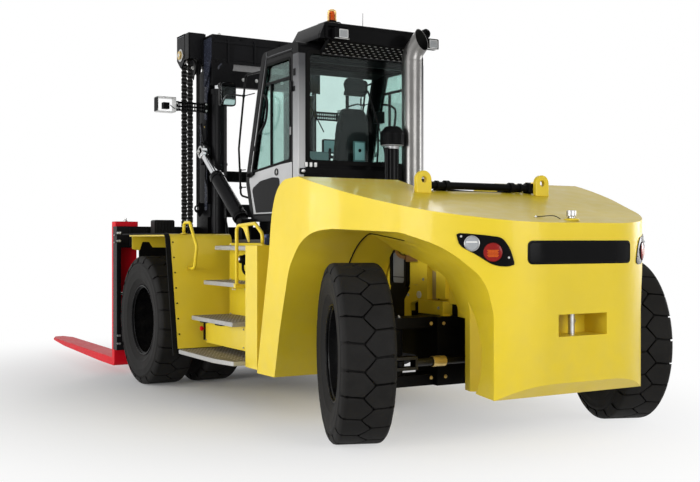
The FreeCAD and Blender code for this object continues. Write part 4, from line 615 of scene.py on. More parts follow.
# every material, under the short name that Build takes
M = {
    "yellow": finish("yellow_paint", YELLOW_PAINT, 0.36, coat=0.12, tone=0.035, tone_scale=1.4, grain=0.08,
                     grain_scale=90.0, grain_depth=0.0006, dust=0.08, worn=0.1, worn_colour=PALE_EDGE,
                     spec=0.3),
    "cast": finish("yellow_casting", YELLOW_PAINT, 0.42, coat=0.1, tone=0.05, tone_scale=1.1, grain=0.16,
                   grain_scale=34.0, grain_depth=0.0012, dust=0.1, worn=0.08, worn_colour=PALE_EDGE,
                   spec=0.3),
    "black": finish("black_steel_paint", (0.0032, 0.0032, 0.0036), 0.4, tone=0.25, grain=0.12,
                    grain_scale=120.0, dust=0.01, worn=0.2, worn_colour=GREY_EDGE, spec=0.04),
    "gloss": finish("black_gloss_paint", (0.003, 0.003, 0.0034), 0.18, coat=0.015, tone=0.2,
                    rough_vary=0.04, grain=0.05, grain_scale=70.0, worn=0.2, worn_colour=GREY_EDGE,
                    spec=0.05),
    "mast": finish("mast_steel_paint", (0.0034, 0.0034, 0.0039), 0.32, tone=0.25, grain=0.1,
                   grain_scale=100.0, dust=0.01, worn=0.3, worn_colour=(0.03, 0.03, 0.034), spec=0.06),
    # dark blue paint with pale blue edges that stands in for the bluish sheen of the mast plates: painted
    # sheen
    "sheen": finish("painted_blue_sheen", (0.022, 0.025, 0.04), 0.24, coat=0.12, tone=0.25, grain=0.08,
                    grain_scale=90.0, worn=0.2, worn_colour=(0.1, 0.11, 0.14), spec=0.3),
    "red": finish("red_fork_paint", (0.7, 0.007, 0.018), 0.42, coat=0.03, tone=0.06, grain=0.08,
                  grain_scale=80.0, worn=0.2, worn_colour=(0.34, 0.03, 0.035), spec=0.06),
    # silver-grey paint; its fade to near black between z 2.75 and 3.85 is painted reflection, pale low down
    # and dark higher up
    "silver": finish("silver_paint_with_painted_reflection", (0.46, 0.465, 0.475), 0.34, metal=0.15, coat=0.2, tone=0.06,
                     grain=0.08, spec=0.3, fade=(2.75, 3.85, (0.035, 0.036, 0.04))),
    "zinc": finish("zinc_plated_steel", (0.5, 0.5, 0.49), 0.34, metal=0.9, tone=0.15, tone_scale=14.0,
                   grain=0.1, grain_scale=400.0),
    "brass": finish("yellow_zinc", (0.62, 0.46, 0.18), 0.34, metal=0.85, tone=0.15, tone_scale=18.0,
                    grain=0.1, grain_scale=300.0),
    "chrome": finish("hard_chrome", (0.62, 0.63, 0.64), 0.12, metal=1.0, tone=0.03, rough_vary=0.04,
                     grain=0.05, grain_depth=0.0002, brushed=(1, 1, 14)),
    "stack": finish("stack_steel", (0.165, 0.161, 0.156), 0.3, metal=0.85, tone=0.14, tone_scale=2.2,
                    rough_vary=0.03, grain=0.0),
    "dull": finish("dull_steel", (0.022, 0.021, 0.02), 0.36, metal=0.85, tone=0.2, tone_scale=9.0,
                   grain=0.1),
    "engine": finish("engine_grey", (0.12, 0.13, 0.14), 0.5, tone=0.2, grain=0.3, grain_scale=60.0,
                     grain_depth=0.001, dust=0.2),
    "plastic": finish("black_plastic", (0.005, 0.005, 0.0055), 0.5, tone=0.15, grain=0.35,
                      grain_scale=600.0, grain_depth=0.0004, spec=0.05),
    "rubber": finish("soft_rubber", (0.005, 0.005, 0.005), 0.62, tone=0.2, grain=0.25, grain_scale=500.0,
                     grain_depth=0.0005, dust=0.02, spec=0.05),
    "hose": finish("hose_rubber", (0.0045, 0.0045, 0.005), 0.4, tone=0.2, grain=0.3, grain_depth=0.0006,
                   brushed=(6, 6, 1), spec=0.08),
    "rim": finish("rim_black_paint", (0.0036, 0.0036, 0.004), 0.28, coat=0.01, tone=0.2, grain=0.06,
                  grain_scale=90.0, dust=0.02, worn=0.2, worn_colour=GREY_EDGE, spec=0.06),
    "lamp": finish("lamp_housing", (0.006, 0.006, 0.0065), 0.42, tone=0.15, grain=0.3, grain_scale=500.0,
                   spec=0.08),
    "grey": finish("grey_plastic", (0.15, 0.155, 0.16), 0.5, tone=0.08, grain=0.3, grain_scale=500.0),
    "teal": finish("console_teal", (0.11, 0.2, 0.21), 0.4, tone=0.08, grain=0.25, grain_scale=500.0),
    "blue": finish("blue_plastic", (0.015, 0.035, 0.12), 0.4, tone=0.12, grain=0.2, grain_scale=300.0),
    "brown": finish("brown_primer", (0.17, 0.085, 0.028), 0.45, tone=0.15, grain=0.2, dust=0.1),
    "tan": finish("tan_paint", (0.33, 0.25, 0.1), 0.45, tone=0.12, grain=0.2, dust=0.1),
    "chain": finish("oiled_chain", (0.014, 0.013, 0.012), 0.38, metal=0.4, tone=0.3, tone_scale=20.0,
                    grain=0.2, grain_scale=300.0, spec=0.2),
    "band": finish("retroreflector_white", (0.74, 0.74, 0.72), 0.5, tone=0.05),
    "tyre": tread_rubber("tyre_rubber", (0.0135, 0.0129, 0.0124)),
    "steps": spangled("galvanised_plate", (0.42, 0.415, 0.395)),
    "grate": grating("step_grating", (0.105, 0.09, 0.07)),
    "deck": chequered("walkway_plate", (0.014, 0.014, 0.015)),
    "cloth": woven("seat_weave", (0.006, 0.006, 0.007), (0.02, 0.02, 0.022), 2000.0),
    "bolster": woven("seat_side_cloth", (0.004, 0.004, 0.005), (0.013, 0.013, 0.014), 2600.0),
    "glass": clear("cab_glass", (0.86, 0.93, 0.915)),
    "tinted": clear("door_glass", (0.68, 0.81, 0.78)),
    "dome": clear("beacon_dome", (0.97, 0.8, 0.5), 0.05, 0.3),
    "mirror": finish("mirror_glass", (0.7, 0.72, 0.74), 0.04, metal=1.0, tone=0.02, rough_vary=0.01,
                     grain=0.02),
    "white_lens": lens("clear_lens", (0.36, 0.375, 0.39)),
    "red_lens": lens("red_lens", (0.26, 0.006, 0.004)),
    "amber_lens": lens("amber_lens", (0.72, 0.13, 0.006)),
    "screen": lens("display_face", (0.3, 0.5, 0.52), 0.1, 1600.0, 0.18),
}


# ---------------------------------------------------------------- CAD nodes that stay
# node: (material, width of its rounded edges)
DRESSED = {
    "chassis_frame": ("black", 0.006), "mast_pivot_shaft": ("chrome", 0.003),
    "tilt_cylinder_clevises": ("black", 0.005), "drive_axle": ("black", 0.01),
    "steer_axle": ("black", 0.01), "engine_block": ("engine", 0.012), "counterweight": ("cast", 0.014),
    "rear_fenders": ("cast", 0.014), "lifting_eyes": ("cast", 0.006), "tow_pin": ("zinc", 0.004),
    "front_fenders": ("yellow", 0.006), "mudguards": ("rubber", 0.004), "step_housings": ("yellow", 0.008),
    "handrails": ("yellow", 0.0), "deck_plate": ("deck", 0.004), "cab_shell": ("gloss", 0.009),
    "cab_windows": ("glass", 0.0), "roof_visor": ("gloss", 0.012), "mirrors": ("gloss", 0.008),
    "seat_frame": ("black", 0.006), "dashboard": ("plastic", 0.012), "hood_hinge_tube": ("black", 0.004),
    "exhaust_stack": ("stack", 0.003), "air_cleaner": ("black", 0.008),
    "steering_wheel": ("plastic", 0.005), "engine_hood": ("black", 0.01), "left_door": ("gloss", 0.006),
    "left_door_glass": ("tinted", 0.0), "right_door": ("gloss", 0.006), "right_door_glass": ("tinted", 0.0),
    "outer_mast": ("mast", 0.006), "lift_cylinders": ("mast", 0.004), "inner_mast": ("mast", 0.006),
    "lift_rods": ("chrome", 0.004), "chain_sheaves": ("zinc", 0.003), "carriage": ("mast", 0.008),
    "left_fork": ("red", 0.006), "right_fork": ("red", 0.006), "tilt_barrels": ("mast", 0.006),
    "tilt_rods": ("chrome", 0.003), "left_knuckle": ("black", 0.006), "right_knuckle": ("black", 0.006),
    "steering_rod": ("dull", 0.003), "steps": ("steps", 0.003),
}
for node, (material, bevel) in DRESSED.items():
    dress(node, M[material], bevel)


# ---------------------------------------------------------------- wheels
BEAD = 0.4503               # where the carcass meets the rim
LUGS = 22
TYRE_HALF = 0.245           # half the width of a tyre
LUG_PITCH = 2 * math.pi * TYRE_RADIUS / LUGS
TREAD_SLANT = 0.05          # the zigzag of the groove between lugs
LUG_HALF = 0.108
CARCASS = [(0.214, -0.045), (0.228, -0.075), (0.2335, -0.09), (0.2405, -0.1), (0.244, -0.11),
           (0.2445, -0.125), (0.2405, -0.133), (0.243, -0.155), (0.2415, -0.178), (0.2435, -0.184),
           (0.2435, -0.19), (0.241, -0.196), (0.24, -0.215), (0.23, -0.27), (0.2325, -0.277),
           (0.2315, -0.287), (0.227, -0.292), (0.216, -0.31), (0.205, -0.335), (0.19, -0.36)]
# across the tyre, height from the tread's top, half width of the lug there, along the wheel
LUG_ROWS = [(-0.034, 0.0, 0.01), (0.01, 0.0, 0.06), (0.0534, 0.0, LUG_HALF), (0.12, 0.0, LUG_HALF),
            (0.175, 0.0, LUG_HALF), (0.188, -0.001, LUG_HALF - 0.006), (0.205, -0.004, LUG_HALF),
            (0.213, -0.01, LUG_HALF), (0.229, -0.028, LUG_HALF - 0.004), (0.236, -0.05, LUG_HALF - 0.012),
            (0.2405, -0.077, LUG_HALF - 0.022)]
LUG_DEPTH = 0.036
CHAMFER = 0.004             # of a lug's top edge


def tyre(build, at):
    """Carcass ring and two staggered rows of lugs round the place's third axis."""
    side = [(across, TYRE_RADIUS + drop) for across, drop in CARCASS] + [(0.19, BEAD)]
    ring = [(0.0, TYRE_RADIUS - LUG_DEPTH + 0.004)] + [(0.16, TYRE_RADIUS - LUG_DEPTH + 0.003)] + side
    ring += [(-a, r) for a, r in reversed(ring[1:])]
    build.turn(ring, at, 88)
    for side in (1, -1):
        for k in range(LUGS):
            middle = (k + (0.25 if side > 0 else 0.75)) * LUG_PITCH
            lug(build, at, side, middle)


def lug(build, at, side, middle):
    """One lug: under face on the carcass, a sharp shoulder and a chamfered top."""
    columns = 5
    points, faces = [], []
    for layer in range(3):
        for across, drop, half in LUG_ROWS:
            slip = -0.4 * TREAD_SLANT * min(1.0, max(0.0, (0.2 - across) / 0.2))
            for c in range(columns):
                t = 2 * c / (columns - 1) - 1
                inset = CHAMFER if layer == 2 else 0.0
                along = middle + slip + t * (half - inset)
                radius = TYRE_RADIUS + drop - (CHAMFER if layer == 1 else 0.0)
                if layer == 0:
                    radius -= LUG_DEPTH if across < 0.21 else 0.012
                width = across - (0.003 if layer == 2 and across > 0.2 else 0.0)
                if layer == 0 and across > 0.2:
                    width -= 0.01
                angle = along / TYRE_RADIUS
                points.append((radius * math.cos(angle), radius * math.sin(angle), side * width))
    rows = len(LUG_ROWS)

    def spot(layer, row, column):
        return (layer * rows + row) * columns + column

    for row in range(rows - 1):
        for c in range(columns - 1):
            faces.append((spot(2, row, c), spot(2, row, c + 1), spot(2, row + 1, c + 1),
                          spot(2, row + 1, c)))
            faces.append((spot(0, row, c + 1), spot(0, row, c), spot(0, row + 1, c),
                          spot(0, row + 1, c + 1)))
    edge = [(0, c) for c in range(columns)] + [(r, columns - 1) for r in range(1, rows)]
    edge += [(rows - 1, c) for c in range(columns - 2, -1, -1)] + [(r, 0) for r in range(rows - 2, 0, -1)]
    for layer in (0, 1):
        for k, (row, column) in enumerate(edge):
            next_row, next_column = edge[(k + 1) % len(edge)]
            faces.append((spot(layer, row, column), spot(layer, next_row, next_column),
                          spot(layer + 1, next_row, next_column), spot(layer + 1, row, column)))
    build.add(points, faces, at)


def wheel_place(joint):
    """Place whose third axis points outward along a wheel's axle."""
    spin = JOINTS[joint]
    axis = Vector(spin["axis"]).normalized()
    position = Vector(spin["pos_m"])
    return stand(position, axis if axis.x * position.x > 0 else -axis)


def ring_of(build, place, count, radius, along, size, turn=0.0, washer=True):
    """Bolts round an axle."""
    for k in range(count):
        angle = 2 * math.pi * (k + turn) / count
        at = place @ Vector((radius * math.cos(angle), radius * math.sin(angle), along))
        build.bolt(at, place.to_3x3() @ UP, size, washer)


FLANGE = [(0.19, 0.4497), (0.197, 0.446), (0.2, 0.438), (0.197, 0.428), (0.186, 0.423), (0.178, 0.428),
          (0.172, 0.42), (0.166, 0.412)]
STEER_RIM = [(-0.115, 0.0755), (-0.115, 0.165), (0.004, 0.17), (0.004, 0.4), (-0.02, 0.425),
             (-0.172, 0.425), (-0.18, 0.43), (-0.19, 0.44), (-0.197, 0.446), (-0.19, 0.4497)] + FLANGE
STEER_RIM += [(0.11, 0.406), (0.075, 0.398), (0.052, 0.38), (0.046, 0.36), (0.044, 0.3), (0.05, 0.215),
              (0.05, 0.2), (-0.02, 0.19), (-0.03, 0.12), (0, 0.105), (0.06, 0.095), (0.07, 0.08),
              (0.072, 0), (-0.045, 0), (-0.045, 0.0755)]
DRIVE_RIM = [(-0.87, 0.1203), (-0.87, 0.25), (-0.61, 0.25), (-0.61, 0.428), (-0.84, 0.428),
             (-0.86, 0.4497)] + FLANGE
DRIVE_RIM += [(0.15, 0.428), (-0.57, 0.428), (-0.57, 0.26), (-0.33, 0.25), (-0.31, 0.24), (-0.31, 0.172),
              (-0.25, 0.165), (-0.25, 0), (-0.67, 0), (-0.67, 0.1203)]


def steer_wheel(side):
    place = wheel_place(f"{side}_steer_spin")
    wheel = Build("tyre")
    tyre(wheel, place)
    body = f"{side}_steer_wheel"
    wheel.piece(f"{side}_steer_tread", body, replaces=[f"{side}_steer_tyre"])
    rim = Build("rim")
    rim.turn(STEER_RIM, place, 96)
    for k in range(8):
        angle = math.radians(22.5 + 45 * k)
        spot = place @ Matrix.Rotation(angle, 4, "Z")
        rim.prism([(0.205, -0.012, 0.006), (0.262, -0.008, 0.004), (0.262, 0.008, 0.004),
                   (0.205, 0.012, 0.006)], 0.03, 0.058, spot, 3)
    rim.use("zinc")
    ring_of(rim, place, 20, 0.29, 0.046, 0.04)
    rim.use("brass")
    ring_of(rim, place, 12, 0.155, -0.024, 0.026, 0.5)
    rim.use("black")
    ring_of(rim, place, 6, 0.045, 0.07, 0.02, 0.5, False)
    rim.use("rubber")
    valve = place @ Vector((0.36, 0.05, 0.046))
    rim.rod(valve, valve + place.to_3x3() @ Vector((0.012, 0, 0.05)), 0.007, 12)
    rim.piece(f"{side}_steer_rim", body, 0.003, [f"{side}_steer_hub"])


def drive_wheel(side):
    body = f"{side}_drive_wheel"
    sign = 1 if side == "left" else -1
    lo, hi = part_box(f"{side}_drive_tyres")
    outer = max(abs(lo.x), abs(hi.x)) - TYRE_HALF
    inner = min(abs(lo.x), abs(hi.x)) + TYRE_HALF
    tread = Build("tyre")
    places = [stand((sign * x, Y_DRIVE, AXLE_Z), (sign, 0, 0)) for x in (outer, inner)]
    for place in places:
        tyre(tread, place)
    tread.piece(f"{side}_drive_tread", body, replaces=[f"{side}_drive_tyres"])
    rim = Build("rim")
    rim.turn(DRIVE_RIM, places[0], 96)
    rim.use("zinc")
    ring_of(rim, places[0], 24, 0.33, -0.57, 0.038)
    rim.use("brass")
    ring_of(rim, places[0], 16, 0.21, -0.31, 0.03)
    rim.use("black")
    ring_of(rim, places[0], 8, 0.12, -0.25, 0.024, 0.5, False)
    rim.piece(f"{side}_drive_rim", body, 0.003, [f"{side}_drive_hub"])


for side in ("left", "right"):
    steer_wheel(side)
    drive_wheel(side)


# ---------------------------------------------------------------- counterweight and rear body
REAR = surface_of("counterweight")
Y_REAR = high("counterweight").y
FENDERS = surface_of("rear_fenders")
STEER_Y = JOINTS["left_steer"]["pos_m"][1]


def on_rear(x, z):
    """Point and outward normal of the counterweight's rear face."""
    spot, normal, _, _ = REAR.ray_cast(Vector((x, 8, z)), Vector((0, -1, 0)))
    return spot, normal


def on_deck(x, y):
    spot, normal, _, _ = REAR.ray_cast(Vector((x, y, 4)), Vector((0, 0, -1)))
    return spot, normal


def curve_at(table, p):
    """Smooth curve through (p, value) pairs."""
    line = smooth_line([(a, b, 0) for a, b in table], 8)
    for a, b in zip(line, line[1:]):
        if p <= b.x:
            return a.y + (b.y - a.y) * max(0.0, (p - a.x) / max(1e-6, b.x - a.x))
    return line[-1].y


LEAF_TOP = [(0, 1.885), (0.06, 1.895), (0.3, 1.885), (0.55, 1.872), (0.76, 1.85), (0.91, 1.765), (1, 1.655)]
LEAF_FOOT = [(0, 1.875), (0.06, 1.79), (0.3, 1.715), (0.59, 1.632), (0.85, 1.615), (1, 1.63)]
LEAF_X = (1.085, 0.706)


def leaf_x(p):
    return LEAF_X[0] + (LEAF_X[1] - LEAF_X[0]) * p


def tail_lamps():
    """Leaf-shaped lamp panels on both rear corners."""
    made = Build("gloss", True)
    across, along = 11, 30

    def corner(i, j):
        p = j / (along - 1)
        top, foot = curve_at(LEAF_TOP, p), curve_at(LEAF_FOOT, p)
        spot, normal = on_rear(leaf_x(p), foot + (top - foot) * i / (across - 1))
        return spot - normal * 0.002, normal

    made.blanket(corner, across, along, 0.011)
    for p, z, radius, glass in ((0.24, 1.808, 0.06, "white_lens"), (0.59, 1.735, 0.08, "red_lens")):
        spot, normal = on_rear(leaf_x(p), z)
        place = stand(spot + normal * 0.002, normal)
        made.use("zinc" if glass == "white_lens" else "plastic")
        made.cap([(0, radius + 0.006), (0.01, radius + 0.006), (0.013, radius + 0.002), (0.008, radius)],
                 place, 40)
        made.use(glass)
        made.turn([(0.008, radius), (0.014, radius * 0.97), (0.019, radius * 0.8), (0.022, radius * 0.4),
                   (0.023, 0)], place, 40, False)
        made.use("amber_lens" if glass == "red_lens" else "band")
        for k in range(6 if glass == "red_lens" else 1):
            rise = radius * (0.2 - 0.13 * k)
            reach = radius * (0.52 if k % 2 else 0.6) if glass == "red_lens" else radius * 0.8
            thick = radius * (0.035 if glass == "red_lens" else 0.09)
            made.prism(rectangle(-reach, reach, rise - thick, rise + thick, thick * 0.8), 0.016, 0.0245,
                       place, 3)
    made.use("zinc")
    for p, z in ((0.07, 1.867), (0.89, 1.69)):
        spot, normal = on_rear(leaf_x(p), z)
        made.cap([(0, 0.01), (0.004, 0.009), (0.006, 0.006), (0.003, 0.003)],
                 stand(spot + normal * 0.009, normal), 16)
    made.piece("tail_lamps", "chassis", 0.002)


def name_plate():
    """Blank black plate with a raised rim."""
    made = Build("gloss")
    half, z0, z1 = 0.593, 1.631, 1.833
    along, across = 41, 7

    def corner(i, j):
        x = -half + 2 * half * (1 - math.cos(math.pi * j / (along - 1))) / 2
        cut = max(0.0, 0.045 - (half - abs(x)))
        trim = 0.045 - math.sqrt(0.045 ** 2 - cut ** 2)
        spot, normal = on_rear(x, z0 + trim + (z1 - z0 - 2 * trim) * i / (across - 1))
        return spot - normal * 0.002, normal

    made.blanket(corner, across, along, 0.006)
    made.use("plastic")
    inset = 0.014
    outline = rounded(rectangle(-half + inset, half - inset, z0 + inset, z1 - inset, 0.04), 5)
    path = []
    for i, p in enumerate(outline):
        q = outline[(i + 1) % len(outline)]
        steps = max(1, int((q - p).length / 0.05))
        for k in range(steps):
            at = p + (q - p) * k / steps
            spot, normal = on_rear(at.x, at.y)
            path.append(spot + normal * 0.004)
    made.tube(path + path[:1], 0.006, 8, 0)
    made.piece("name_plate", "chassis", 0.0015)


def tow_fittings():
    """Bolts inside the tow pocket, the pin's boss and its retaining wire."""
    made = Build("zinc")
    pin_lo, pin_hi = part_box("tow_pin")
    middle = (pin_lo + pin_hi) / 2
    for x, z in ((0.215, 1.1), (-0.12, 1.115)):
        made.bolt((x, Y_REAR - 0.2795, z), BACK, 0.058)
    made.use("cast")
    spot, _ = on_deck(0.04, middle.y)
    made.turn([(0, 0.0295), (0, 0.075), (0.016, 0.068), (0.022, 0.05), (0.022, 0.0295)],
              upright(middle.x, middle.y, spot.z - 0.008), 32)
    made.use("chrome")
    made.cap([(0, 0.026), (0.004, 0.029), (0.012, 0.028), (0.016, 0.022)],
             upright(middle.x, middle.y, pin_hi.z - 0.014), 32)
    made.use("hose")
    top = Vector((middle.x, middle.y, pin_hi.z - 0.06))
    deck_left, _ = on_deck(0.3, middle.y - 0.12)
    made.tube([top + Vector((0.03, 0, 0)), top + Vector((0.07, -0.02, -0.03)),
               deck_left + Vector((-0.16, 0.06, 0.012)), deck_left + Vector((-0.05, 0.02, 0.008)),
               deck_left + Vector((0, 0, 0.004))], 0.004, 8)
    made.use("zinc")
    made.bolt(deck_left, (0, 0.12, 1), 0.022)
    made.piece("tow_fittings", "chassis", 0.001)


def hinge_fittings():
    """Clamp caps, bolts and hoses beside the hood's hinge tube."""
    lo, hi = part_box("hood_hinge_tube")
    y = (lo.y + hi.y) / 2
    axis_z = hi.z - 0.05
    made = Build("black", True)
    made.prism([(y - 0.062, axis_z - 0.055, 0.02), (y + 0.062, axis_z - 0.055, 0.02),
                (y + 0.045, axis_z + 0.058, 0.04), (y - 0.045, axis_z + 0.058, 0.04)], -0.03, 0.03,
               plane_x(0.64), 6)
    made.sleeve(0, 0.03, 0.036, 0.046, stand((0.5, y, axis_z), LEFT), 24)
    made.use("brass")
    for dy in (-0.045, 0.045):
        made.bolt((0.64, y + dy, axis_z + 0.046), (0, dy * 4, 1), 0.024)
    made.use("zinc")
    made.bolt((0.672, y, axis_z), LEFT, 0.034)
    made.mirror = False
    made.use("hose")
    made.tube([(-0.56, y - 0.045, axis_z - 0.03), (-0.2, y - 0.052, axis_z - 0.055),
               (0.25, y - 0.05, axis_z - 0.045), (0.57, y - 0.045, axis_z - 0.02)], 0.011, 10)
    made.piece("hinge_fittings", "chassis", 0.003)


def arch_fittings():
    """Walls, column, service box and bolts inside both rear wheel arches."""
    made = Build("yellow", True)
    wall = plane_x(0.6)
    made.prism([(2.62, 1.24), (4.5, 1.24), (4.5, 1.85), (3.84, 1.9), (2.62, 1.98, 0.1)], 0.0, 0.012,
               plane_x(0.586), 4)
    made.prism([(3.775, 1.262, 0.01), (3.775, 1.86, 0.01), (3.935, 1.86, 0.01), (3.935, 1.262, 0.01)], 0,
               0.062, wall)
    made.box(0.562, 0.668, 3.79, 4.2, 1.135, 1.262)
    made.prism([(3.53, 1.05, 0.01), (3.53, 1.25, 0.02), (3.66, 1.4, 0.02), (3.79, 1.4, 0.01), (3.79, 1.262),
                (3.64, 1.22, 0.02), (3.64, 1.05, 0.01)], 0, 0.055, wall, 4)
    made.prism([(4.055, 1.285, 0.008), (4.205, 1.285, 0.008), (4.205, 1.8, 0.008), (4.055, 1.8, 0.008)], 0,
               0.045, wall)
    made.rod((0.6, 4.2, 1.1), (0.68, 4.2, 1.1), 0.045, 24)
    made.use("tan")
    made.prism(rectangle(3.945, 4.04, 1.27, 1.84), 0, 0.01, wall)
    made.use("brown")
    made.prism([(3.56, 1.62, 0.01), (3.78, 1.63, 0.01), (3.78, 1.8, 0.01), (3.56, 1.74, 0.01)], 0, 0.06,
               wall)
    made.tube([(0.66, 3.56, 1.66), (0.68, 3.48, 1.68), (0.66, 3.4, 1.72), (0.61, 3.36, 1.74)], 0.02, 10)
    made.use("brass")
    made.bolt((0.66, 3.66, 1.71), LEFT, 0.055)
    made.use("plastic")
    made.frame(rectangle(3.25, 3.545, 1.36, 1.745, 0.06), rectangle(3.285, 3.51, 1.41, 1.71, 0.03), 0, 0.05,
               wall, 6)
    made.prism([(3.26, 1.37), (3.545, 1.37), (3.66, 1.1), (3.66, 0.98), (3.2, 0.98)], 0, 0.045, wall)
    made.box(0.6, 0.611, 4.04, 4.052, 1.27, 1.82)
    made.use("grey")
    made.prism(rectangle(3.27, 3.53, 1.39, 1.73), 0, 0.03, wall)
    made.use("plastic")
    made.box(0.629, 0.633, 3.285, 3.51, 1.462, 1.47)
    made.use("band")
    made.cap([(0, 0.036), (0.01, 0.034), (0.012, 0.028)], stand((0.662, 3.8, 1.31), LEFT), 28)
    made.use("zinc")
    made.bolt((0.662, 3.87, 1.46), LEFT, 0.022)
    for y, z in ((3.6, 1.3), (4.13, 1.2)):
        made.bolt((0.668 if z < 1.27 else 0.655, y, z), LEFT, 0.022)
    made.piece("arch_fittings", "chassis", 0.004)


def rod_sleeves():
    """Brass sleeves near the ends of the steering rod."""
    sleeve = Build("brass", True)
    sleeve.turn([(0, 0.0365), (0, 0.047), (0.004, 0.049), (0.136, 0.049), (0.14, 0.047), (0.14, 0.0365)],
                stand((0.8, STEER_Y + 0.3, 0.745), LEFT), 32)
    sleeve.piece("rod_sleeves", "steering_rod", 0.0)


def arch_seams():
    """Bead of sealant along the edge of each rear arch."""
    seam = Build("plastic", True)
    trees = (FENDERS, REAR)
    path = []
    for k in range(25):
        angle = math.radians(-6 + 3.2 * k)
        heading = Vector((0, -math.sin(angle), math.cos(angle)))
        hits = [tree.ray_cast(Vector((1.1, STEER_Y, 0.95)), heading) for tree in trees]
        hits = [(hit[3], hit[0]) for hit in hits if hit[0] is not None]
        if hits:
            path.append(min(hits)[1])
    seam.tube(path, 0.008, 8, 0)
    seam.piece("arch_seams", "chassis", 0.0)


def steer_axle_fittings():
    """Bolts of the steer axle and its king pins, with its unions and hoses."""
    bolts = Build("zinc", True)
    face_y = STEER_Y + 0.18
    for x, z in ((0.86, 1.075), (0.72, 1.07), (0.86, 0.58), (0.7, 0.58), (0.3, 1.06), (0.12, 1.06)):
        bolts.use("zinc" if x < 0.4 else "brass")
        bolts.bolt((x, face_y, z), BACK, 0.024)
    bolts.use("zinc")
    for angle in range(0, 360, 60):
        c, s = math.cos(math.radians(angle)), math.sin(math.radians(angle))
        bolts.bolt((1.18 + 0.082 * c, STEER_Y + 0.082 * s, 1.13), UP, 0.026)
    bolts.use("hose")
    for dz in (0.0, 0.05):
        bolts.tube([(0.26, STEER_Y + 0.3, 0.79 + dz), (0.34, STEER_Y + 0.24, 0.9 + dz),
                    (0.4, STEER_Y + 0.21, 1.02), (0.36 - dz, STEER_Y + 0.15, 1.17),
                    (0.36 - dz, STEER_Y + 0.02, 1.24)], 0.013, 10)
    bolts.use("brass")
    for dz in (0.0, 0.05):
        bolts.cap([(0, 0.018), (0.03, 0.018), (0.034, 0.014)],
                  stand((0.25, STEER_Y + 0.305, 0.785 + dz), (0.4, -0.2, 0.5)), 6)
    bolts.use("black")
    bolts.sleeve(0, 0.03, 0.094, 0.104, stand((0.27, STEER_Y + 0.2997, 0.745), LEFT), 40)
    bolts.piece("steer_axle_fittings", "chassis", 0.002)


tail_lamps()
name_plate()
tow_fittings()
hinge_fittings()
arch_fittings()
rod_sleeves()
arch_seams()
steer_axle_fittings()


# ---------------------------------------------------------------- steps, rails, fenders and lamps
def step_grips():
    """Gratings, grip rims and ribbed noses on the treads."""
    made = Build("steps", True)
    for z in (0.56, 0.95, 1.36, 1.765):
        lo, hi = slice_box("steps", lambda p: p.x > 0 and abs(p.z - z) < 0.003)
        bottom = z < 0.6
        outer, rear = hi.x - 0.085 * bottom, hi.y
        made.use("grate")
        outline = [(lo.x + 0.012, lo.y + 0.014), (hi.x - 0.052, lo.y + 0.014), (hi.x - 0.016, lo.y + 0.05),
                   (hi.x - 0.016, rear - (0.39 if bottom else 0.016)),
                   (outer - 0.016 * (not bottom), rear - 0.016), (lo.x + 0.012, rear - 0.016)]
        made.prism(outline, -0.001, 0.0022, plane_z(z))
        made.use("steps")
        for drop in (0.01, 0.022, 0.034):
            made.box(hi.x - 0.001, hi.x + 0.0025, lo.y + 0.048, rear - (0.4 if bottom else 0.012),
                     z - drop - 0.003, z - drop + 0.003)
        row = 0
        x = lo.x + 0.04
        while x < hi.x - 0.035:
            y = lo.y + 0.06 + 0.04 * (row % 2)
            while y < rear - 0.05:
                if not bottom or y < rear - 0.42 or x < hi.x - 0.14:
                    made.turn([(0, 0.012), (0.0035, 0.0095), (0.0035, 0.006), (0.0005, 0.0045),
                               (0.0005, 0)], upright(x, y, z + 0.0015), 8, False)
                y += 0.08
            x += 0.06
            row += 1
    made.piece("step_grips", "chassis", 0.0)


def step_bolts():
    """Bolts of the treads and the pads below the second one."""
    trim = Build("black", True)
    for y0, y1 in ((0.98, 1.12), (1.42, 1.58)):
        trim.box(1.7, 1.786, y0, y1, 0.89, 0.9035)
    trim.use("zinc")
    for z in (1.36, 1.765, 0.95):
        for y in (0.74, 1.6):
            trim.bolt((1.3, y, z), UP, 0.024)
    for y in (1.62, 1.68, 1.74, 1.8):
        trim.bolt((1.655 - 0.1 * (y > 1.7), y, 1.3), (0.3, 0, -1), 0.022, False)
    trim.piece("step_bolts", "chassis", 0.002)


def battery_box_fittings():
    """Handle, red switch knob and bolts on the boxes below the steps."""
    box = Build("plastic", True)
    box.box(1.585, 1.612, 0.655, 0.697, 0.655, 0.915)
    box.box(1.5, 1.598, 0.664, 0.697, 0.86, 0.885)
    box.use("red")
    place = stand((1.612, 0.676, 0.79), LEFT)
    box.cap([(0, 0.012), (0.018, 0.012), (0.02, 0.026), (0.03, 0.03), (0.042, 0.028), (0.048, 0.018)],
            place, 28)
    box.use("zinc")
    for y in (0.73, 1.79):
        for z in (0.66, 0.86):
            box.bolt((1.6, y, z), LEFT, 0.02, False)
    box.piece("battery_box_fittings", "chassis", 0.002)


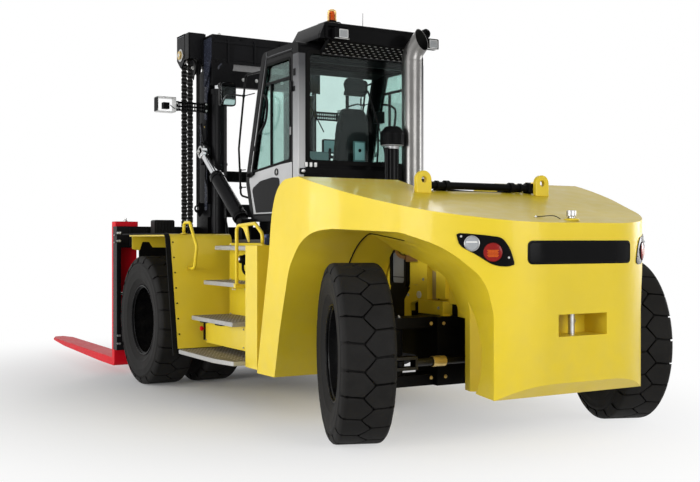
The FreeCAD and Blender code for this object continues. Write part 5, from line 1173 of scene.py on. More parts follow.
def filler_caps():
    """Filler neck and hose, reservoir with a blue cap and blue filter by the steps."""
    caps = Build("plastic", True)
    neck = stand((1.268, 1.16, 1.6), (1, 0, 0.15))
    caps.use("hose")
    caps.cap([(0, 0.062), (0.05, 0.062), (0.07, 0.05), (0.1, 0.045), (0.11, 0.03)], neck, 24)
    caps.use("zinc")
    caps.turn([(0.1, 0.03), (0.115, 0.03), (0.125, 0.02), (0.125, 0)], neck, 20, False)
    caps.use("blue")
    caps.prism(rectangle(2.17, 2.27, 1.782, 1.86, 0.012), 0, 0.1, plane_x(1.48))
    caps.cap([(0, 0.03), (0.03, 0.03), (0.036, 0.02)], upright(1.53, 2.22, 1.86), 20)
    caps.prism(rectangle(1.4, 1.5, 1.6, 1.7, 0.02), 0, 0.05, plane_x(1.272))
    caps.use("brown")
    caps.box(1.44, 1.5, 2.12, 2.16, 1.782, 1.84)
    caps.use("plastic")
    caps.tube([(1.33, 1.16, 1.57), (1.34, 1.2, 1.48), (1.3, 1.24, 1.42), (1.262, 1.25, 1.4)], 0.016, 10)
    caps.piece("filler_caps", "chassis", 0.003)


def rail_fittings():
    """Foot flanges of the handrails and the gusset of the rear hoop."""
    made = Build("yellow", True)
    front_lo, _ = slice_box("handrails", lambda p: 1.7 < p.x and p.y < 0.9)
    rear_lo, rear_hi = slice_box("handrails", lambda p: 1.5 < p.x < 1.68)
    feet = [((1.725, front_lo.y + 0.019, FRONT_FENDER_TOP), UP), ((1.65, rear_lo.y + 0.019, 1.35), UP),
            ((1.65, rear_hi.y - 0.019, 1.78), UP)]
    for at, axis in feet:
        made.turn([(0, 0.02), (0, 0.04), (0.007, 0.04), (0.01, 0.024), (0.016, 0.02)], stand(at, axis), 28)
    top = rear_hi.z - 0.02
    made.prism([(rear_lo.y + 0.05, top - 0.012), (rear_lo.y + 0.3, top, 0.02),
                (rear_lo.y + 0.36, top - 0.2, 0.02), (rear_lo.y + 0.33, top - 0.2, 0.02),
                (rear_lo.y + 0.2, top - 0.05)], -0.005, 0.005, plane_x(1.65), 4)
    made.piece("rail_fittings", "chassis", 0.0015)


def mudguard_bolts():
    """Bolts along the mudguards, and the plates across the front of the fenders: a yellow one, and a black
    one below it that is painted shade in the gap above the tyre.
    """
    made = Build("zinc", True)
    foot, top = Vector((1.895, 0.625, 0.6)), Vector((1.895, 0.375, 1.86))
    run = (foot - top).normalized()
    normal = Vector((0, -run.z, run.y))
    made.use("black")
    for k in range(7):
        made.bolt(top + (foot - top) * (k + 0.3) / 7 + normal * 0.001, normal, 0.022, False)
    for k in range(5):
        made.bolt((1.9, -1.05 + 0.32 * k, FRONT_FENDER_TOP), UP, 0.022, False)
    made.use("yellow")
    under = FRONT_FENDER_TOP - 0.012
    made.prism([(1.14, under), (1.895, under), (1.895, 1.715, 0.01), (1.79, 1.695, 0.01),
                (1.755, 1.81, 0.02), (1.66, 1.81, 0.02), (1.61, 1.735, 0.01), (1.14, 1.735)], 0, 0.008,
               plane_y(-1.14), 4)
    # black sheet across the gap above the drive tyre: painted shade
    made.use("black")
    made.prism(rectangle(1.14, 1.8, 1.59, 1.8), 0, 0.006, plane_y(-1.148))
    made.piece("mudguard_bolts", "chassis", 0.001)


def head_lamp_units():
    """Head lamps: housing with cooling ribs, two reflectors with their lenses, and a cable."""
    lamp = Build("lamp", True)
    lo, hi = slice_box("head_lamps", lambda p: p.x > 0)
    outline = rectangle(lo.x, hi.x, lo.z, hi.z, 0.025)
    inner = rectangle(lo.x + 0.014, hi.x - 0.014, lo.z + 0.014, hi.z - 0.014, 0.018)
    lamp.prism(outline, 0.012, hi.y - lo.y, plane_y(lo.y))
    lamp.frame(outline, inner, 0.0, 0.02, plane_y(lo.y))
    for x in (lo.x + 0.075, hi.x - 0.075):
        place = stand((x, lo.y + 0.012, (lo.z + hi.z) / 2), -BACK)
        lamp.use("chrome")
        lamp.turn([(0, 0.0), (0, 0.058), (0.006, 0.06), (0.008, 0.056), (0.002, 0.05), (-0.0, 0.0)], place,
                  36, False)
        lamp.use("white_lens")
        lamp.turn([(0.002, 0.055), (0.006, 0.05), (0.01, 0.03), (0.011, 0)], place, 36, False)
    lamp.use("lamp")
    for k in range(6):
        x = lo.x + 0.03 + k * (hi.x - lo.x - 0.06) / 5
        lamp.box(x - 0.006, x + 0.006, hi.y - 0.004, hi.y + 0.01, lo.z + 0.03, hi.z - 0.03)
    lamp.use("hose")
    lamp.tube([((lo.x + hi.x) / 2, hi.y, lo.z + 0.03), ((lo.x + hi.x) / 2, hi.y + 0.05, lo.z + 0.02),
               ((lo.x + hi.x) / 2 - 0.03, hi.y + 0.1, lo.z + 0.004)], 0.009, 10)
    lamp.piece("head_lamp_units", "chassis", 0.003, ["head_lamps"])


step_grips()
step_bolts()
battery_box_fittings()
filler_caps()
rail_fittings()
mudguard_bolts()
head_lamp_units()


# ---------------------------------------------------------------- cab outside
CAB_WAIST = Vector((0, 0.205, 2.58))
CAB_BROW = Vector((0, 0.695, 4.11))
DOOR_WINDOW = [(0.395, 2.675, 0.04), (0.825, 3.945, 0.05), (1.44, 3.945, 0.04), (1.44, 2.76, 0.04)]
REAR_WINDOW = rectangle(-0.73, 0.73, 2.74, 3.99, 0.06)


def grown(points, amount):
    """The same corners pushed outwards from their middle; radii grow with them."""
    middle = sum((Vector(p[:2]) for p in points), Vector((0, 0))) / len(points)
    out = []
    count = len(points)
    for i, point in enumerate(points):
        here = Vector(point[:2])
        before = (here - Vector(points[i - 1][:2])).normalized()
        after = (Vector(points[(i + 1) % count][:2]) - here).normalized()
        n1, n2 = Vector((before.y, -before.x)), Vector((after.y, -after.x))
        if n1.dot(here - middle) < 0:
            n1, n2 = -n1, -n2
        both = n1 + n2
        moved = here + both * (amount / (both.length_squared / 2))
        out.append((moved.x, moved.y, max(0.0, (point[2] if len(point) > 2 else 0.0) + amount)))
    return out


def gasket(build, points, width, w0, w1, at, steps=8):
    """Rubber profile round an opening, wider outside than inside."""
    build.frame(grown(points, width * 0.65), grown(points, -width * 0.35), w0, w1, at, steps)


def cab_rear_fittings():
    """Gasket, wiper, lock and bolts of the cab's rear window."""
    made = Build("rubber")
    gasket(made, REAR_WINDOW, 0.046, -0.012, 0.01, plane_y(CAB_REAR))
    made.use("plastic")
    made.tube([(-0.3, CAB_REAR + 0.03, 2.765), (-0.3, CAB_REAR + 0.035, 2.8),
               (-0.22, CAB_REAR + 0.03, 3.12), (-0.12, CAB_REAR + 0.016, 3.42)], 0.008, 10)
    made.box(-0.345, -0.255, CAB_REAR, CAB_REAR + 0.042, 2.705, 2.765)
    made.rod((-0.17, CAB_REAR + 0.01, 3.3), (-0.06, CAB_REAR + 0.01, 3.6), 0.01, 10)
    made.use("black")
    made.box(-0.79, 0.79, CAB_REAR, CAB_REAR + 0.014, 2.46, 2.66)
    made.use("zinc")
    for x in (0.765, 0.705, 0.645):
        for z in (2.672, 2.402):
            made.prism(rectangle(x - 0.017, x + 0.017, z, z + 0.052, 0.008), 0, 0.02, plane_y(CAB_REAR), 3)
    made.use("black")
    made.prism(rectangle(0.56, 0.845, 2.585, 2.655, 0.012), 0.0, 0.045, plane_y(CAB_REAR), 3)
    made.use("zinc")
    made.cap([(0, 0.022), (0.014, 0.022), (0.018, 0.012)], stand((0.822, CAB_REAR + 0.045, 2.62), BACK), 20)
    made.use("black")
    made.box(0.832, 0.872, CAB_REAR - 0.015, CAB_REAR + 0.02, 2.4, 2.47)
    made.piece("cab_rear_fittings", "chassis", 0.004)


def door_trim(side, name):
    """Gasket, sliding-pane bars, silver panels, handle and lock of one door."""
    leaf = Build("rubber")
    flip = Matrix.Diagonal((side, 1, 1, 1))
    place = flip @ plane_x(CAB_SIDE)
    leaf.frame(grown(DOOR_WINDOW, 0.016), grown(DOOR_WINDOW, -0.016), -0.012, 0.005, place, 8)
    leaf.use("black")
    for y0, y1, z0, z1 in ((0.765, 1.425, 3.705, 3.735), (0.9, 0.924, 2.735, 3.71)):
        leaf.box(CAB_SIDE - 0.034, CAB_SIDE - 0.006, y0, y1, z0, z1, flip)
    # silver lower door panel; its paint fades to near black upwards as painted reflection
    leaf.use("silver")
    leaf.prism([(0.455, 2.155), (0.322, 2.575, 0.1), (0.352, 2.655, 0.02), (0.9, 2.715, 0.4),
                (1.494, 2.735, 0.01), (1.494, 2.155, 0.045)], 0.0, 0.004, place, 6)
    leaf.use("gloss")
    leaf.prism([(0.52, 2.17, 0.02), (0.405, 2.47, 0.05), (0.64, 2.555, 0.25), (0.98, 2.585, 0.3),
                (1.17, 2.57, 0.05), (1.21, 2.17, 0.02)], 0.004, 0.007, place, 8)
    leaf.use("plastic")
    leaf.tube([(side * (CAB_SIDE - 0.015), 0.64, 3.135), (side * (CAB_SIDE + 0.035), 0.7, 3.14),
               (side * (CAB_SIDE + 0.052), 0.835, 3.2), (side * (CAB_SIDE + 0.052), 0.915, 3.31),
               (side * (CAB_SIDE + 0.052), 0.935, 3.5), (side * (CAB_SIDE + 0.035), 0.82, 3.575),
               (side * (CAB_SIDE - 0.015), 0.7, 3.6)], 0.015, 12)
    leaf.box(CAB_SIDE - 0.006, CAB_SIDE + 0.022, 0.49, 0.545, 2.93, 2.99, flip)
    leaf.prism([(0.345, 2.6, 0.02), (0.36, 2.655, 0.02), (0.5, 2.69, 0.02), (0.49, 2.64, 0.02)], 0.004,
               0.034, place, 4)
    leaf.cap([(0, 0.026), (0.03, 0.022), (0.04, 0.016)],
             stand((side * (CAB_SIDE + 0.03), 0.385, 2.64), (side, 0, 0)), 24)
    leaf.turn([(0, 0.03), (0, 0.044), (0.012, 0.042), (0.012, 0.03)],
              stand((side * (CAB_SIDE + 0.004), 1.1, 2.64), (side, 0, 0)), 32)
    leaf.use("zinc")
    leaf.cap([(0, 0.03), (0.008, 0.028), (0.008, 0.018), (0.012, 0.016)],
             stand((side * (CAB_SIDE + 0.004), 1.1, 2.64), (side, 0, 0)), 28)
    leaf.use("plastic")
    leaf.box(CAB_SIDE + 0.014, CAB_SIDE + 0.02, 1.096, 1.104, 2.618, 2.662, flip)
    leaf.use("silver")
    leaf.box(CAB_SIDE, CAB_SIDE + 0.012, 1.452, 1.47, 3.05, 3.14, flip)
    leaf.piece(name + "_trim", name, 0.0025)


def cab_posts():
    """Silver skins of the rear corner posts, and the seam along the roof."""
    # the silver skins fade to near black upwards: painted reflection
    posts = Build("silver", True)
    side, back, skin = CAB_SIDE + 0.0005, CAB_REAR + 0.0005, 0.004
    posts.prism([(0.772, back), (0.772, back + skin), (side - 0.006, back + skin),
                 (side + skin - 0.002, back + 0.002), (side + skin, back - 0.006), (side + skin, 1.519),
                 (side, 1.519), (side, back)], 2.15, 3.97, plane_z(0))
    posts.use("plastic")
    posts.box(CAB_SIDE + 0.003, CAB_SIDE + 0.01, 1.535, 1.585, 3.72, 3.8)
    posts.use("silver")
    line = [(0.35, 2.6), (0.8, 3.985), (0.86, 4.035), (1.5, 4.035)]
    posts.tube([(CAB_SIDE + 0.001, y, z) for y, z in line], 0.006, 8, 4)
    posts.piece("cab_posts", "chassis", 0.002)


def roof_kit():
    """Roof lamps, horn, beacon, antenna and visor edges."""
    made = Build("gloss")
    back, base = high("roof_visor").y, low("roof_visor").z
    top = high("roof_visor").z
    rear = plane_y(back)
    # raised border round the recess of the left lamp
    made.frame(rectangle(0.325, 0.64, base + 0.004, base + 0.172, 0.03),
               rectangle(0.345, 0.61, base + 0.016, base + 0.15, 0.02), -0.002, 0.045, rear)
    made.prism([(0.6, base + 0.006, 0.01), (0.7, base + 0.006, 0.01), (0.695, base + 0.06, 0.01),
                (0.645, base + 0.17, 0.01), (0.6, base + 0.17, 0.01)], -0.004, 0.03, rear)
    made.use("black")
    made.box(-0.66, 0.3, back, back + 0.004, base + 0.165, base + 0.18)
    for k in range(9):
        x = -0.64 + 0.155 * k
        made.bolt((x, back + 0.002, base + 0.188), BACK, 0.016, False)
    for x in (0.45, -0.79):
        z = base + 0.07
        made.use("lamp")
        made.prism(rectangle(x - 0.094, x + 0.094, z - 0.061, z + 0.061, 0.016), 0.0005, 0.07, rear)
        made.use("plastic")
        made.frame(rectangle(x - 0.094, x + 0.094, z - 0.061, z + 0.061, 0.016),
                   rectangle(x - 0.082, x + 0.082, z - 0.049, z + 0.049, 0.01), 0.07, 0.093, rear)
        made.prism(rectangle(x + 0.03, x + 0.082, z - 0.049, z + 0.049, 0.004), 0.07, 0.086, rear)
        made.use("zinc")
        made.frame(rectangle(x - 0.082, x + 0.034, z - 0.049, z + 0.049, 0.008),
                   rectangle(x - 0.074, x + 0.026, z - 0.041, z + 0.041, 0.005), 0.07, 0.09, rear)
        made.box(x - 0.094, x + 0.094, back + 0.072, back + 0.0935, z - 0.0615, z - 0.056)
        made.use("white_lens")
        made.prism(rectangle(x - 0.074, x + 0.026, z - 0.041, z + 0.041, 0.004), 0.07, 0.087, rear)
        made.use("lamp")
        for k in range(5):
            made.box(x - 0.08 + 0.037 * k, x - 0.068 + 0.037 * k, back + 0.012, back + 0.062, z + 0.058,
                     z + 0.067)
    made.use("black")
    z = base + 0.07
    made.box(-0.79, -0.7003, back - 0.06, back + 0.004, z - 0.02, z + 0.02)
    made.prism([(-0.7, z - 0.02), (-0.7, z + 0.09), (-0.74, z + 0.11, 0.01), (-0.79, z + 0.06, 0.01),
                (-0.79, z - 0.02)], -0.045, -0.03, rear, 4)
    horn = stand((-0.745, back - 0.01, z + 0.125), (0, 1, 0.05))
    made.turn([(-0.02, 0), (-0.02, 0.05), (0.0, 0.058), (0.045, 0.058), (0.058, 0.05), (0.06, 0.03),
               (0.052, 0.026), (0.05, 0)], horn, 32, False)
    made.use("plastic")
    for radius in (0.012, 0.022, 0.036, 0.044):
        made.turn([(0.05, radius - 0.002), (0.06 + 0.002 * (radius < 0.03), radius),
                   (0.05, radius + 0.002)], horn, 32)
    # beacon on a raised bracket: stepped base, clear dome, orange core with black shafts
    made.use("black")
    made.prism([(0.18, 1.27), (0.28, 1.27), (0.28, 1.345), (0.18, 1.345)], 0.001, 0.1, plane_z(top))
    made.prism([(0.37, 1.2, 0.01), (0.36, 1.42, 0.01), (0.2, 1.44, 0.03), (0.12, 1.36, 0.03),
                (0.13, 1.22, 0.01)], 0.1, 0.112, plane_z(top))
    made.prism([(0.33, 1.24, 0.01), (0.32, 1.38, 0.01), (0.16, 1.37, 0.03), (0.15, 1.24, 0.01)], 0.111,
               0.126, plane_z(top))
    beacon = upright(0.23, 1.305, top + 0.06)
    made.cap([(0.06, 0.062), (0.074, 0.06), (0.08, 0.054), (0.086, 0.052)], beacon, 40)
    made.use("amber_lens")
    made.cap([(0.084, 0.028), (0.094, 0.034), (0.176, 0.034), (0.196, 0.028), (0.2, 0.016)], beacon, 32)
    for k in range(6):
        level = 0.098 + 0.013 * k
        made.turn([(level, 0.033), (level + 0.004, 0.0375), (level + 0.008, 0.033)], beacon, 32)
    made.use("plastic")
    for angle in (0.4, 2.5, 4.6):
        c, s = math.cos(angle), math.sin(angle)
        made.rod((0.23 + 0.039 * c, 1.305 + 0.039 * s, top + 0.145),
                 (0.23 + 0.039 * c, 1.305 + 0.039 * s, top + 0.235), 0.0045, 8)
    made.use("dome")
    made.turn([(0.082, 0.05), (0.088, 0.056), (0.186, 0.054), (0.208, 0.047), (0.22, 0.031), (0.224, 0.012),
               (0.224, 0)], beacon, 40, False)
    made.use("hose")
    made.rod((-0.2, 1.305, top), (-0.2, 1.305, top + 0.022), 0.018, 20)
    made.rod((-0.2, 1.305, top + 0.02), (-0.205, 1.3, top + 0.285), 0.0042, 8, 0.0028)
    made.piece("roof_kit", "chassis", 0.002, ["roof_lights"])


def visor_grille():
    """Perforated plate between the visor and the rear window."""
    base = low("roof_visor").z
    grille = Build("black")
    top_edge, low_edge = Vector((0, 1.843, base - 0.001)), Vector((0, CAB_REAR + 0.012, base - 0.125))
    run = low_edge - top_edge
    length = run.length
    across = run.normalized()
    normal = Vector((0, -across.z, across.y))
    place = Matrix(((1, 0, 0, 0), (0, across.y, normal.y, top_edge.y), (0, across.z, normal.z, top_edge.z),
                    (0, 0, 0, 1)))
    x0, x1, rows, columns = -0.64, 0.56, 6, 30
    pitch_x, pitch_v = (x1 - x0) / columns, length / rows
    for r in range(rows + 1):
        grille.box(x0, x1, r * pitch_v - 0.009, r * pitch_v + 0.009, -0.004, 0.002, place)
    for c in range(columns + 1):
        x = x0 + c * pitch_x
        grille.box(x - 0.006, x + 0.006, 0, length, -0.004, 0.002, place)
    grille.use("zinc")
    for r in range(rows):
        for c in range(columns):
            if (r + c) % 2:
                continue
            x, v = x0 + (c + 0.5) * pitch_x, (r + 0.5) * pitch_v
            grille.box(x - pitch_x * 0.42, x + pitch_x * 0.42, v + pitch_v * 0.16, v + pitch_v * 0.34,
                       0.000, 0.004, place)
    grille.use("black")
    grille.box(x0 - 0.02, x1 + 0.02, -0.004, length, -0.034, -0.03, place)
    for x in (x0 - 0.02, x1 + 0.008):
        grille.box(x, x + 0.012, 0, length, -0.034, 0.006, place)
    grille.use("silver")
    grille.box(x0, x1, length - 0.004, length + 0.004, 0.000, 0.008, place)
    grille.piece("visor_grille", "chassis", 0.0)


def exhaust_pipe():
    """Exhaust pipe with a bent, obliquely cut mouth."""
    x, y, radius, bend = -0.447, 2.012, 0.118, 0.25
    side = Vector((-0.7071, 0.7071, 0))
    mouth = Vector((-0.33, 0.87, 0.36)).normalized()
    made = Build("stack")
    stations = [(Vector((x, y, z)), UP) for z in (2.262, 2.9, 3.5, 3.93)]
    elbow = stations[-1][0]
    for k in range(1, 9):
        angle = math.radians(35) * k / 8
        c, s = math.cos(angle), math.sin(angle)
        stations.append((elbow + side * bend * (1 - c) + UP * bend * s, side * s + UP * c))
    over = Vector((0.7071, 0.7071, 0))

    def ring(at, heading, size, count=48):
        across = over.cross(heading)
        turns = [2 * math.pi * k / count for k in range(count)]
        return [at + (over * math.cos(a) + across * math.sin(a)) * size for a in turns]

    def cut(at, heading, size, depth):
        goal = at + heading * 0.125
        return [p + heading * ((goal - p).dot(mouth) / heading.dot(mouth) - depth)
                for p in ring(at, heading, size)]

    last = stations[-1]
    outside = [ring(at, heading, radius) for at, heading in stations] + [cut(*last, radius, 0.0)]
    lip = [cut(*last, radius, 0.0), cut(*last, radius - 0.006, 0.0)]
    inside = [cut(*last, radius - 0.006, 0.0), cut(*last, radius - 0.006, 0.2), cut(*last, 0.001, 0.2)]
    for material, rings in (("stack", outside), ("stack", lip), ("rubber", inside)):
        made.use(material)
        count = len(rings[0])
        made.add([p for loop in rings for p in loop],
                 [(i * count + k, i * count + (k + 1) % count, (i + 1) * count + (k + 1) % count,
                   (i + 1) * count + k) for i in range(len(rings) - 1) for k in range(count)])
    made.use("stack")
    made.sleeve(0, 0.007, radius - 0.001, radius + 0.003, upright(x, y, 3.922), 48)
    made.use("hose")
    for dx, dy in ((0.055, 0.104), (-0.05, 0.107)):
        made.bolt((x + dx, y + dy, 2.42), (dx * 0.5, 1, 0), 0.044)
    made.piece("exhaust_pipe", "chassis", 0.0, ["exhaust_stack"])


def air_cleaner_kit():
    """Ribbed cap and clamped pipe of the air cleaner."""
    cap = Build("plastic")
    cx, y = -0.18, 2.005
    at = upright(cx, y, 0)
    for z in (2.945, 2.965, 3.05):
        cap.sleeve(z, z + 0.008, 0.138, 0.1435, at, 48)
    cap.turn([(3.135, 0.085), (3.14, 0.09), (3.148, 0.075), (3.15, 0.0), (3.13, 0.0)], at, 48, False)
    for k in range(28):
        spoke = at @ Matrix.Rotation(2 * math.pi * k / 28, 4, "Z")
        cap.box(0.138, 0.1425, -0.004, 0.004, 2.975, 3.045, spoke)
    cap.use("silver")
    cap.cap([(2.925, 0.132), (2.932, 0.136)], at, 48)
    cap.sleeve(2.889, 2.924, 0.059, 0.08, at, 40)
    cap.use("gloss")
    cap.sleeve(2.26, 2.885, 0.0585, 0.078, at, 40)
    cap.rod((cx + 0.098, y + 0.03, 2.26), (cx + 0.098, y + 0.03, 2.9), 0.026, 20)
    cap.use("brown")
    cap.prism(rectangle(cx + 0.01, cx + 0.06, 2.32, 2.4), 0.064, 0.079, plane_y(y))
    cap.piece("air_cleaner_kit", "chassis", 0.0015)


def mirror_kit():
    """Glass of the cab mirrors, their rims and the clamps of the mirror bars."""
    made = Build("mirror", True)
    face = plane_y(-0.15)
    made.prism(rectangle(0.85, 1.044, 3.575, 3.855, 0.035), -0.002, 0.004, face, 6)
    made.use("gloss")
    made.frame(rectangle(0.838, 1.056, 3.561, 3.869, 0.042), rectangle(0.85, 1.044, 3.575, 3.855, 0.034),
               -0.01, 0.008, face, 6)
    for z, y in ((3.65, 0.195), (2.72, 0.085), (2.5, 0.1)):
        made.cap([(0, 0.019), (0.034, 0.019)], stand((0.882, y, z - 0.017), UP), 20)
        made.rod((0.882, y, z), (0.862, y + 0.12 + 0.16 * (z > 3), z), 0.007, 8)
    made.piece("mirror_kit", "chassis", 0.002)


def windscreen_wiper():
    """Motor, arm and blade of the windscreen wiper."""
    wiper = Build("plastic")
    wiper.rod((0.15, 0.233, 2.62), (0.17, 0.213, 2.66), 0.026, 20)
    run = (CAB_BROW - CAB_WAIST).normalized()
    outward = Vector((0, -run.z, run.y))
    foot = CAB_WAIST + run * 0.06 + outward * 0.022

    def spot(x, rise, off):
        return foot + Vector((x, 0, 0)) + run * rise + outward * off

    wiper.tube([spot(0.16, 0, 0), spot(0.1, 0.45, 0.012), spot(0.02, 0.86, 0.004)], 0.008, 10)
    wiper.rod(spot(-0.16, 0.62, -0.004), spot(0.17, 1.06, -0.004), 0.008, 8)
    wiper.piece("windscreen_wiper", "chassis", 0.0015)


cab_rear_fittings()
door_trim(1, "left_door")
door_trim(-1, "right_door")
cab_posts()
roof_kit()
visor_grille()
exhaust_pipe()
air_cleaner_kit()
mirror_kit()
windscreen_wiper()


# ---------------------------------------------------------------- cab inside
FLOOR = 2.105


def cab_interior():
    """Side consoles, levers, display, pedals, floor mat, overhead ledge and inside mirror."""
    made = Build("plastic")
    middle = plane_x(0)
    made.prism([(0.72, FLOOR), (0.72, FLOOR + 0.4, 0.04), (1.02, FLOOR + 0.56, 0.05),
                (1.34, FLOOR + 0.56, 0.05), (1.34, FLOOR)], -0.52, -0.32, middle)
    made.prism([(0.86, FLOOR), (0.86, FLOOR + 0.34, 0.04), (1.56, FLOOR + 0.46, 0.05), (1.56, FLOOR)], 0.3,
               0.5, middle)
    made.use("teal")
    made.prism([(1.36, FLOOR + 0.5, 0.01), (1.36, FLOOR + 0.76, 0.02), (1.53, FLOOR + 0.76, 0.02),
                (1.53, FLOOR + 0.5, 0.01)], 0.4, 0.74, middle)
    made.use("zinc")
    made.box(0.46, 0.6, 1.52, 1.534, FLOOR + 0.545, FLOOR + 0.57)
    made.use("plastic")
    made.box(0.46, 0.7, 1.38, 1.52, FLOOR + 0.34, FLOOR + 0.5)
    for x, y in ((-0.4, 0.98), (-0.44, 1.06), (-0.48, 1.14)):
        made.rod((x, y, FLOOR + 0.54), (x, y + 0.01, FLOOR + 0.66), 0.009, 12)
        made.turn([(0, 0), (0, 0.016), (0.03, 0.021), (0.05, 0.014), (0.054, 0)],
                  upright(x, y + 0.01, FLOOR + 0.65), 20, False)
    made.prism(rectangle(1.06, 1.36, FLOOR + 0.62, FLOOR + 0.69, 0.03), -0.47, -0.38, middle)
    made.prism(rectangle(1.02, 1.36, FLOOR + 0.56, FLOOR + 0.63, 0.03), 0.33, 0.42, middle)
    # display on a stalk and the pale lens box seen behind the seat
    made.rod((-0.1, 0.62, FLOOR + 0.55), (-0.16, 0.56, FLOOR + 0.9), 0.018, 16)
    made.prism(rectangle(-0.34, -0.06, FLOOR + 0.84, FLOOR + 1.02, 0.02), 0.0, 0.035, plane_y(0.52))
    made.use("screen")
    made.prism(rectangle(-0.325, -0.075, FLOOR + 0.855, FLOOR + 1.005, 0.01), 0.03, 0.038, plane_y(0.52))
    made.use("teal")
    made.box(-0.1, 0.06, 1.515, 1.535, 2.765, 3.01)
    made.use("screen")
    made.box(-0.085, 0.045, 1.53, 1.54, 2.785, 2.995)
    made.use("rubber")
    made.turn([(0, 0), (0, 0.022), (0.005, 0.018), (0.006, 0)], stand((-0.02, 1.54, 2.9), BACK), 20, False)
    for x in (-0.12, 0.1):
        made.prism([(0.55, FLOOR + 0.015), (0.66, FLOOR + 0.015), (0.6, FLOOR + 0.15, 0.01),
                    (0.565, FLOOR + 0.15, 0.01)], -0.045, 0.045, plane_x(x), 3)
    made.use("rubber")
    made.box(-0.8, 0.8, 0.47, 1.58, FLOOR, FLOOR + 0.008)
    made.use("plastic")
    made.prism([(0.74, 3.93), (0.72, 4.03), (1.1, 4.05), (1.2, 3.9, 0.02), (0.95, 3.86, 0.03)], -0.6, 0.6,
               middle)
    made.prism(rectangle(1.5, 1.58, 3.9, 4.04, 0.02), -0.78, 0.78, middle)
    made.use("zinc")
    made.cap([(0, 0.028), (0.012, 0.02)], stand((0.3, 1.502, 3.965), -BACK), 20)
    made.use("plastic")
    # coat hook bar, belt reel and inside mirror
    made.tube([(-0.3, 1.53, 3.3), (-0.3, 1.5, 3.2), (-0.31, 1.48, 2.9), (-0.3, 1.44, 2.6)], 0.012, 8)
    made.box(-0.35, -0.25, 1.48, 1.57, 3.24, 3.38)
    made.rod((-0.45, 0.86, 3.96), (-0.45, 0.86, 3.82), 0.008, 10)
    made.prism(rectangle(-0.53, -0.37, 3.68, 3.86, 0.04), 0.0, 0.03, plane_y(0.85))
    made.piece("cab_interior", "chassis", 0.002)


PAD_INSET = 0.016           # the pads start this much smaller and swell
PAD_CAP = 0.024


def keep_shape(obj):
    """Keeps the mesh as its modifiers leave it, and drops them."""
    graph = bpy.context.evaluated_depsgraph_get()
    obj.data = bpy.data.meshes.new_from_object(obj.evaluated_get(graph))
    obj.modifiers.clear()


def swell(obj, held):
    """Pressure cloth over the pad; the sewn and resting points are held and every move is capped."""
    start = [v.co.copy() for v in obj.data.vertices]
    obj.vertex_groups.new(name="held").add(held, 1.0, "ADD")
    cloth = obj.modifiers.new("swell", "CLOTH")
    cloth.settings.quality = 4
    cloth.settings.use_pressure = True
    cloth.settings.uniform_pressure_force = 4.0
    cloth.settings.vertex_group_mass = "held"
    cloth.settings.effector_weights.gravity = 0
    cloth.collision_settings.use_collision = False
    for number in range(1, 21):
        bpy.context.scene.frame_set(number)
    keep_shape(obj)
    for vertex, before in zip(obj.data.vertices, start):
        move = vertex.co - before
        if move.length > PAD_CAP:
            vertex.co = before + move * (PAD_CAP / move.length)
    bpy.context.scene.frame_set(1)


def pad(name, outline, half, sewn, rests, form=None):
    """Foam pad on a side outline: an even mesh, sewn in along lines and swollen as a cloth."""
    made = Build("cloth")
    made.prism(grown(outline, -PAD_INSET), PAD_INSET - half, half - PAD_INSET, plane_x(0))
    obj = made.piece(name, None)
    obj.modifiers.clear()
    even = obj.modifiers.new("even", "REMESH")
    even.mode = "VOXEL"
    even.voxel_size = 0.011
    even.use_smooth_shade = True
    keep_shape(obj)
    relax = obj.modifiers.new("relax", "SMOOTH")
    relax.factor = 0.5
    relax.iterations = 6
    keep_shape(obj)
    held = []
    if form:
        for vertex in obj.data.vertices:
            vertex.co = form(vertex.co)
    for vertex in obj.data.vertices:
        if rests(vertex.co):
            held.append(vertex.index)
        elif any(abs(distance(vertex.co)) < 0.0065 for distance in sewn):
            vertex.co -= vertex.normal * 0.008
            held.append(vertex.index)
    swell(obj, held)
    finer = obj.modifiers.new("finer", "SUBSURF")
    finer.levels = 1
    finer.render_levels = 1
    keep_shape(obj)
    for polygon in obj.data.polygons:
        polygon.use_smooth = True
    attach(obj, "chassis")
    return obj


def piping(obj, name, loops):
    """Sewn cords laid on a pad; each loop is a list of (start, direction) rays."""
    tree = BVHTree.FromPolygons([v.co for v in obj.data.vertices],
                                [p.vertices[:] for p in obj.data.polygons])
    made = Build("bolster")
    for loop in loops:
        path = []
        for start, heading in loop:
            spot, normal, _, _ = tree.ray_cast(Vector(start), Vector(heading))
            if spot is not None:
                path.append(spot + normal * 0.001)
        made.tube(path, 0.0032, 6, 0)
    made.piece(name, "chassis")


def ring_of_rays(x0, x1, v0, v1, place, heading, radius=0.05):
    """Rays round a rounded rectangle; place(u, v) gives where each starts."""
    outline = rounded(rectangle(x0, x1, v0, v1, radius), 6)
    rays = []
    for i, p in enumerate(outline):
        q = outline[(i + 1) % len(outline)]
        steps = max(1, int((q - p).length / 0.02))
        rays += [(place(*(p + (q - p) * k / steps)), heading) for k in range(steps)]
    return rays + rays[:1]


def shouldered(p, z0, z1, half, narrowing):
    """Rounds a pad's outline seen from the front: narrower towards its top, with dropped corners."""
    rise = min(1.0, max(0.0, (p.z - z0) / (z1 - z0)))
    reach = min(1.0, abs(p.x) / half)
    width = 1 - narrowing * max(0.0, (rise - 0.45) / 0.55) ** 2 - 0.06 * (1 - rise) ** 4
    drop = 0.22 * (z1 - z0) * max(0.0, (rise - 0.6) / 0.4) * reach ** 5
    return Vector((p.x * width, p.y, p.z - drop))


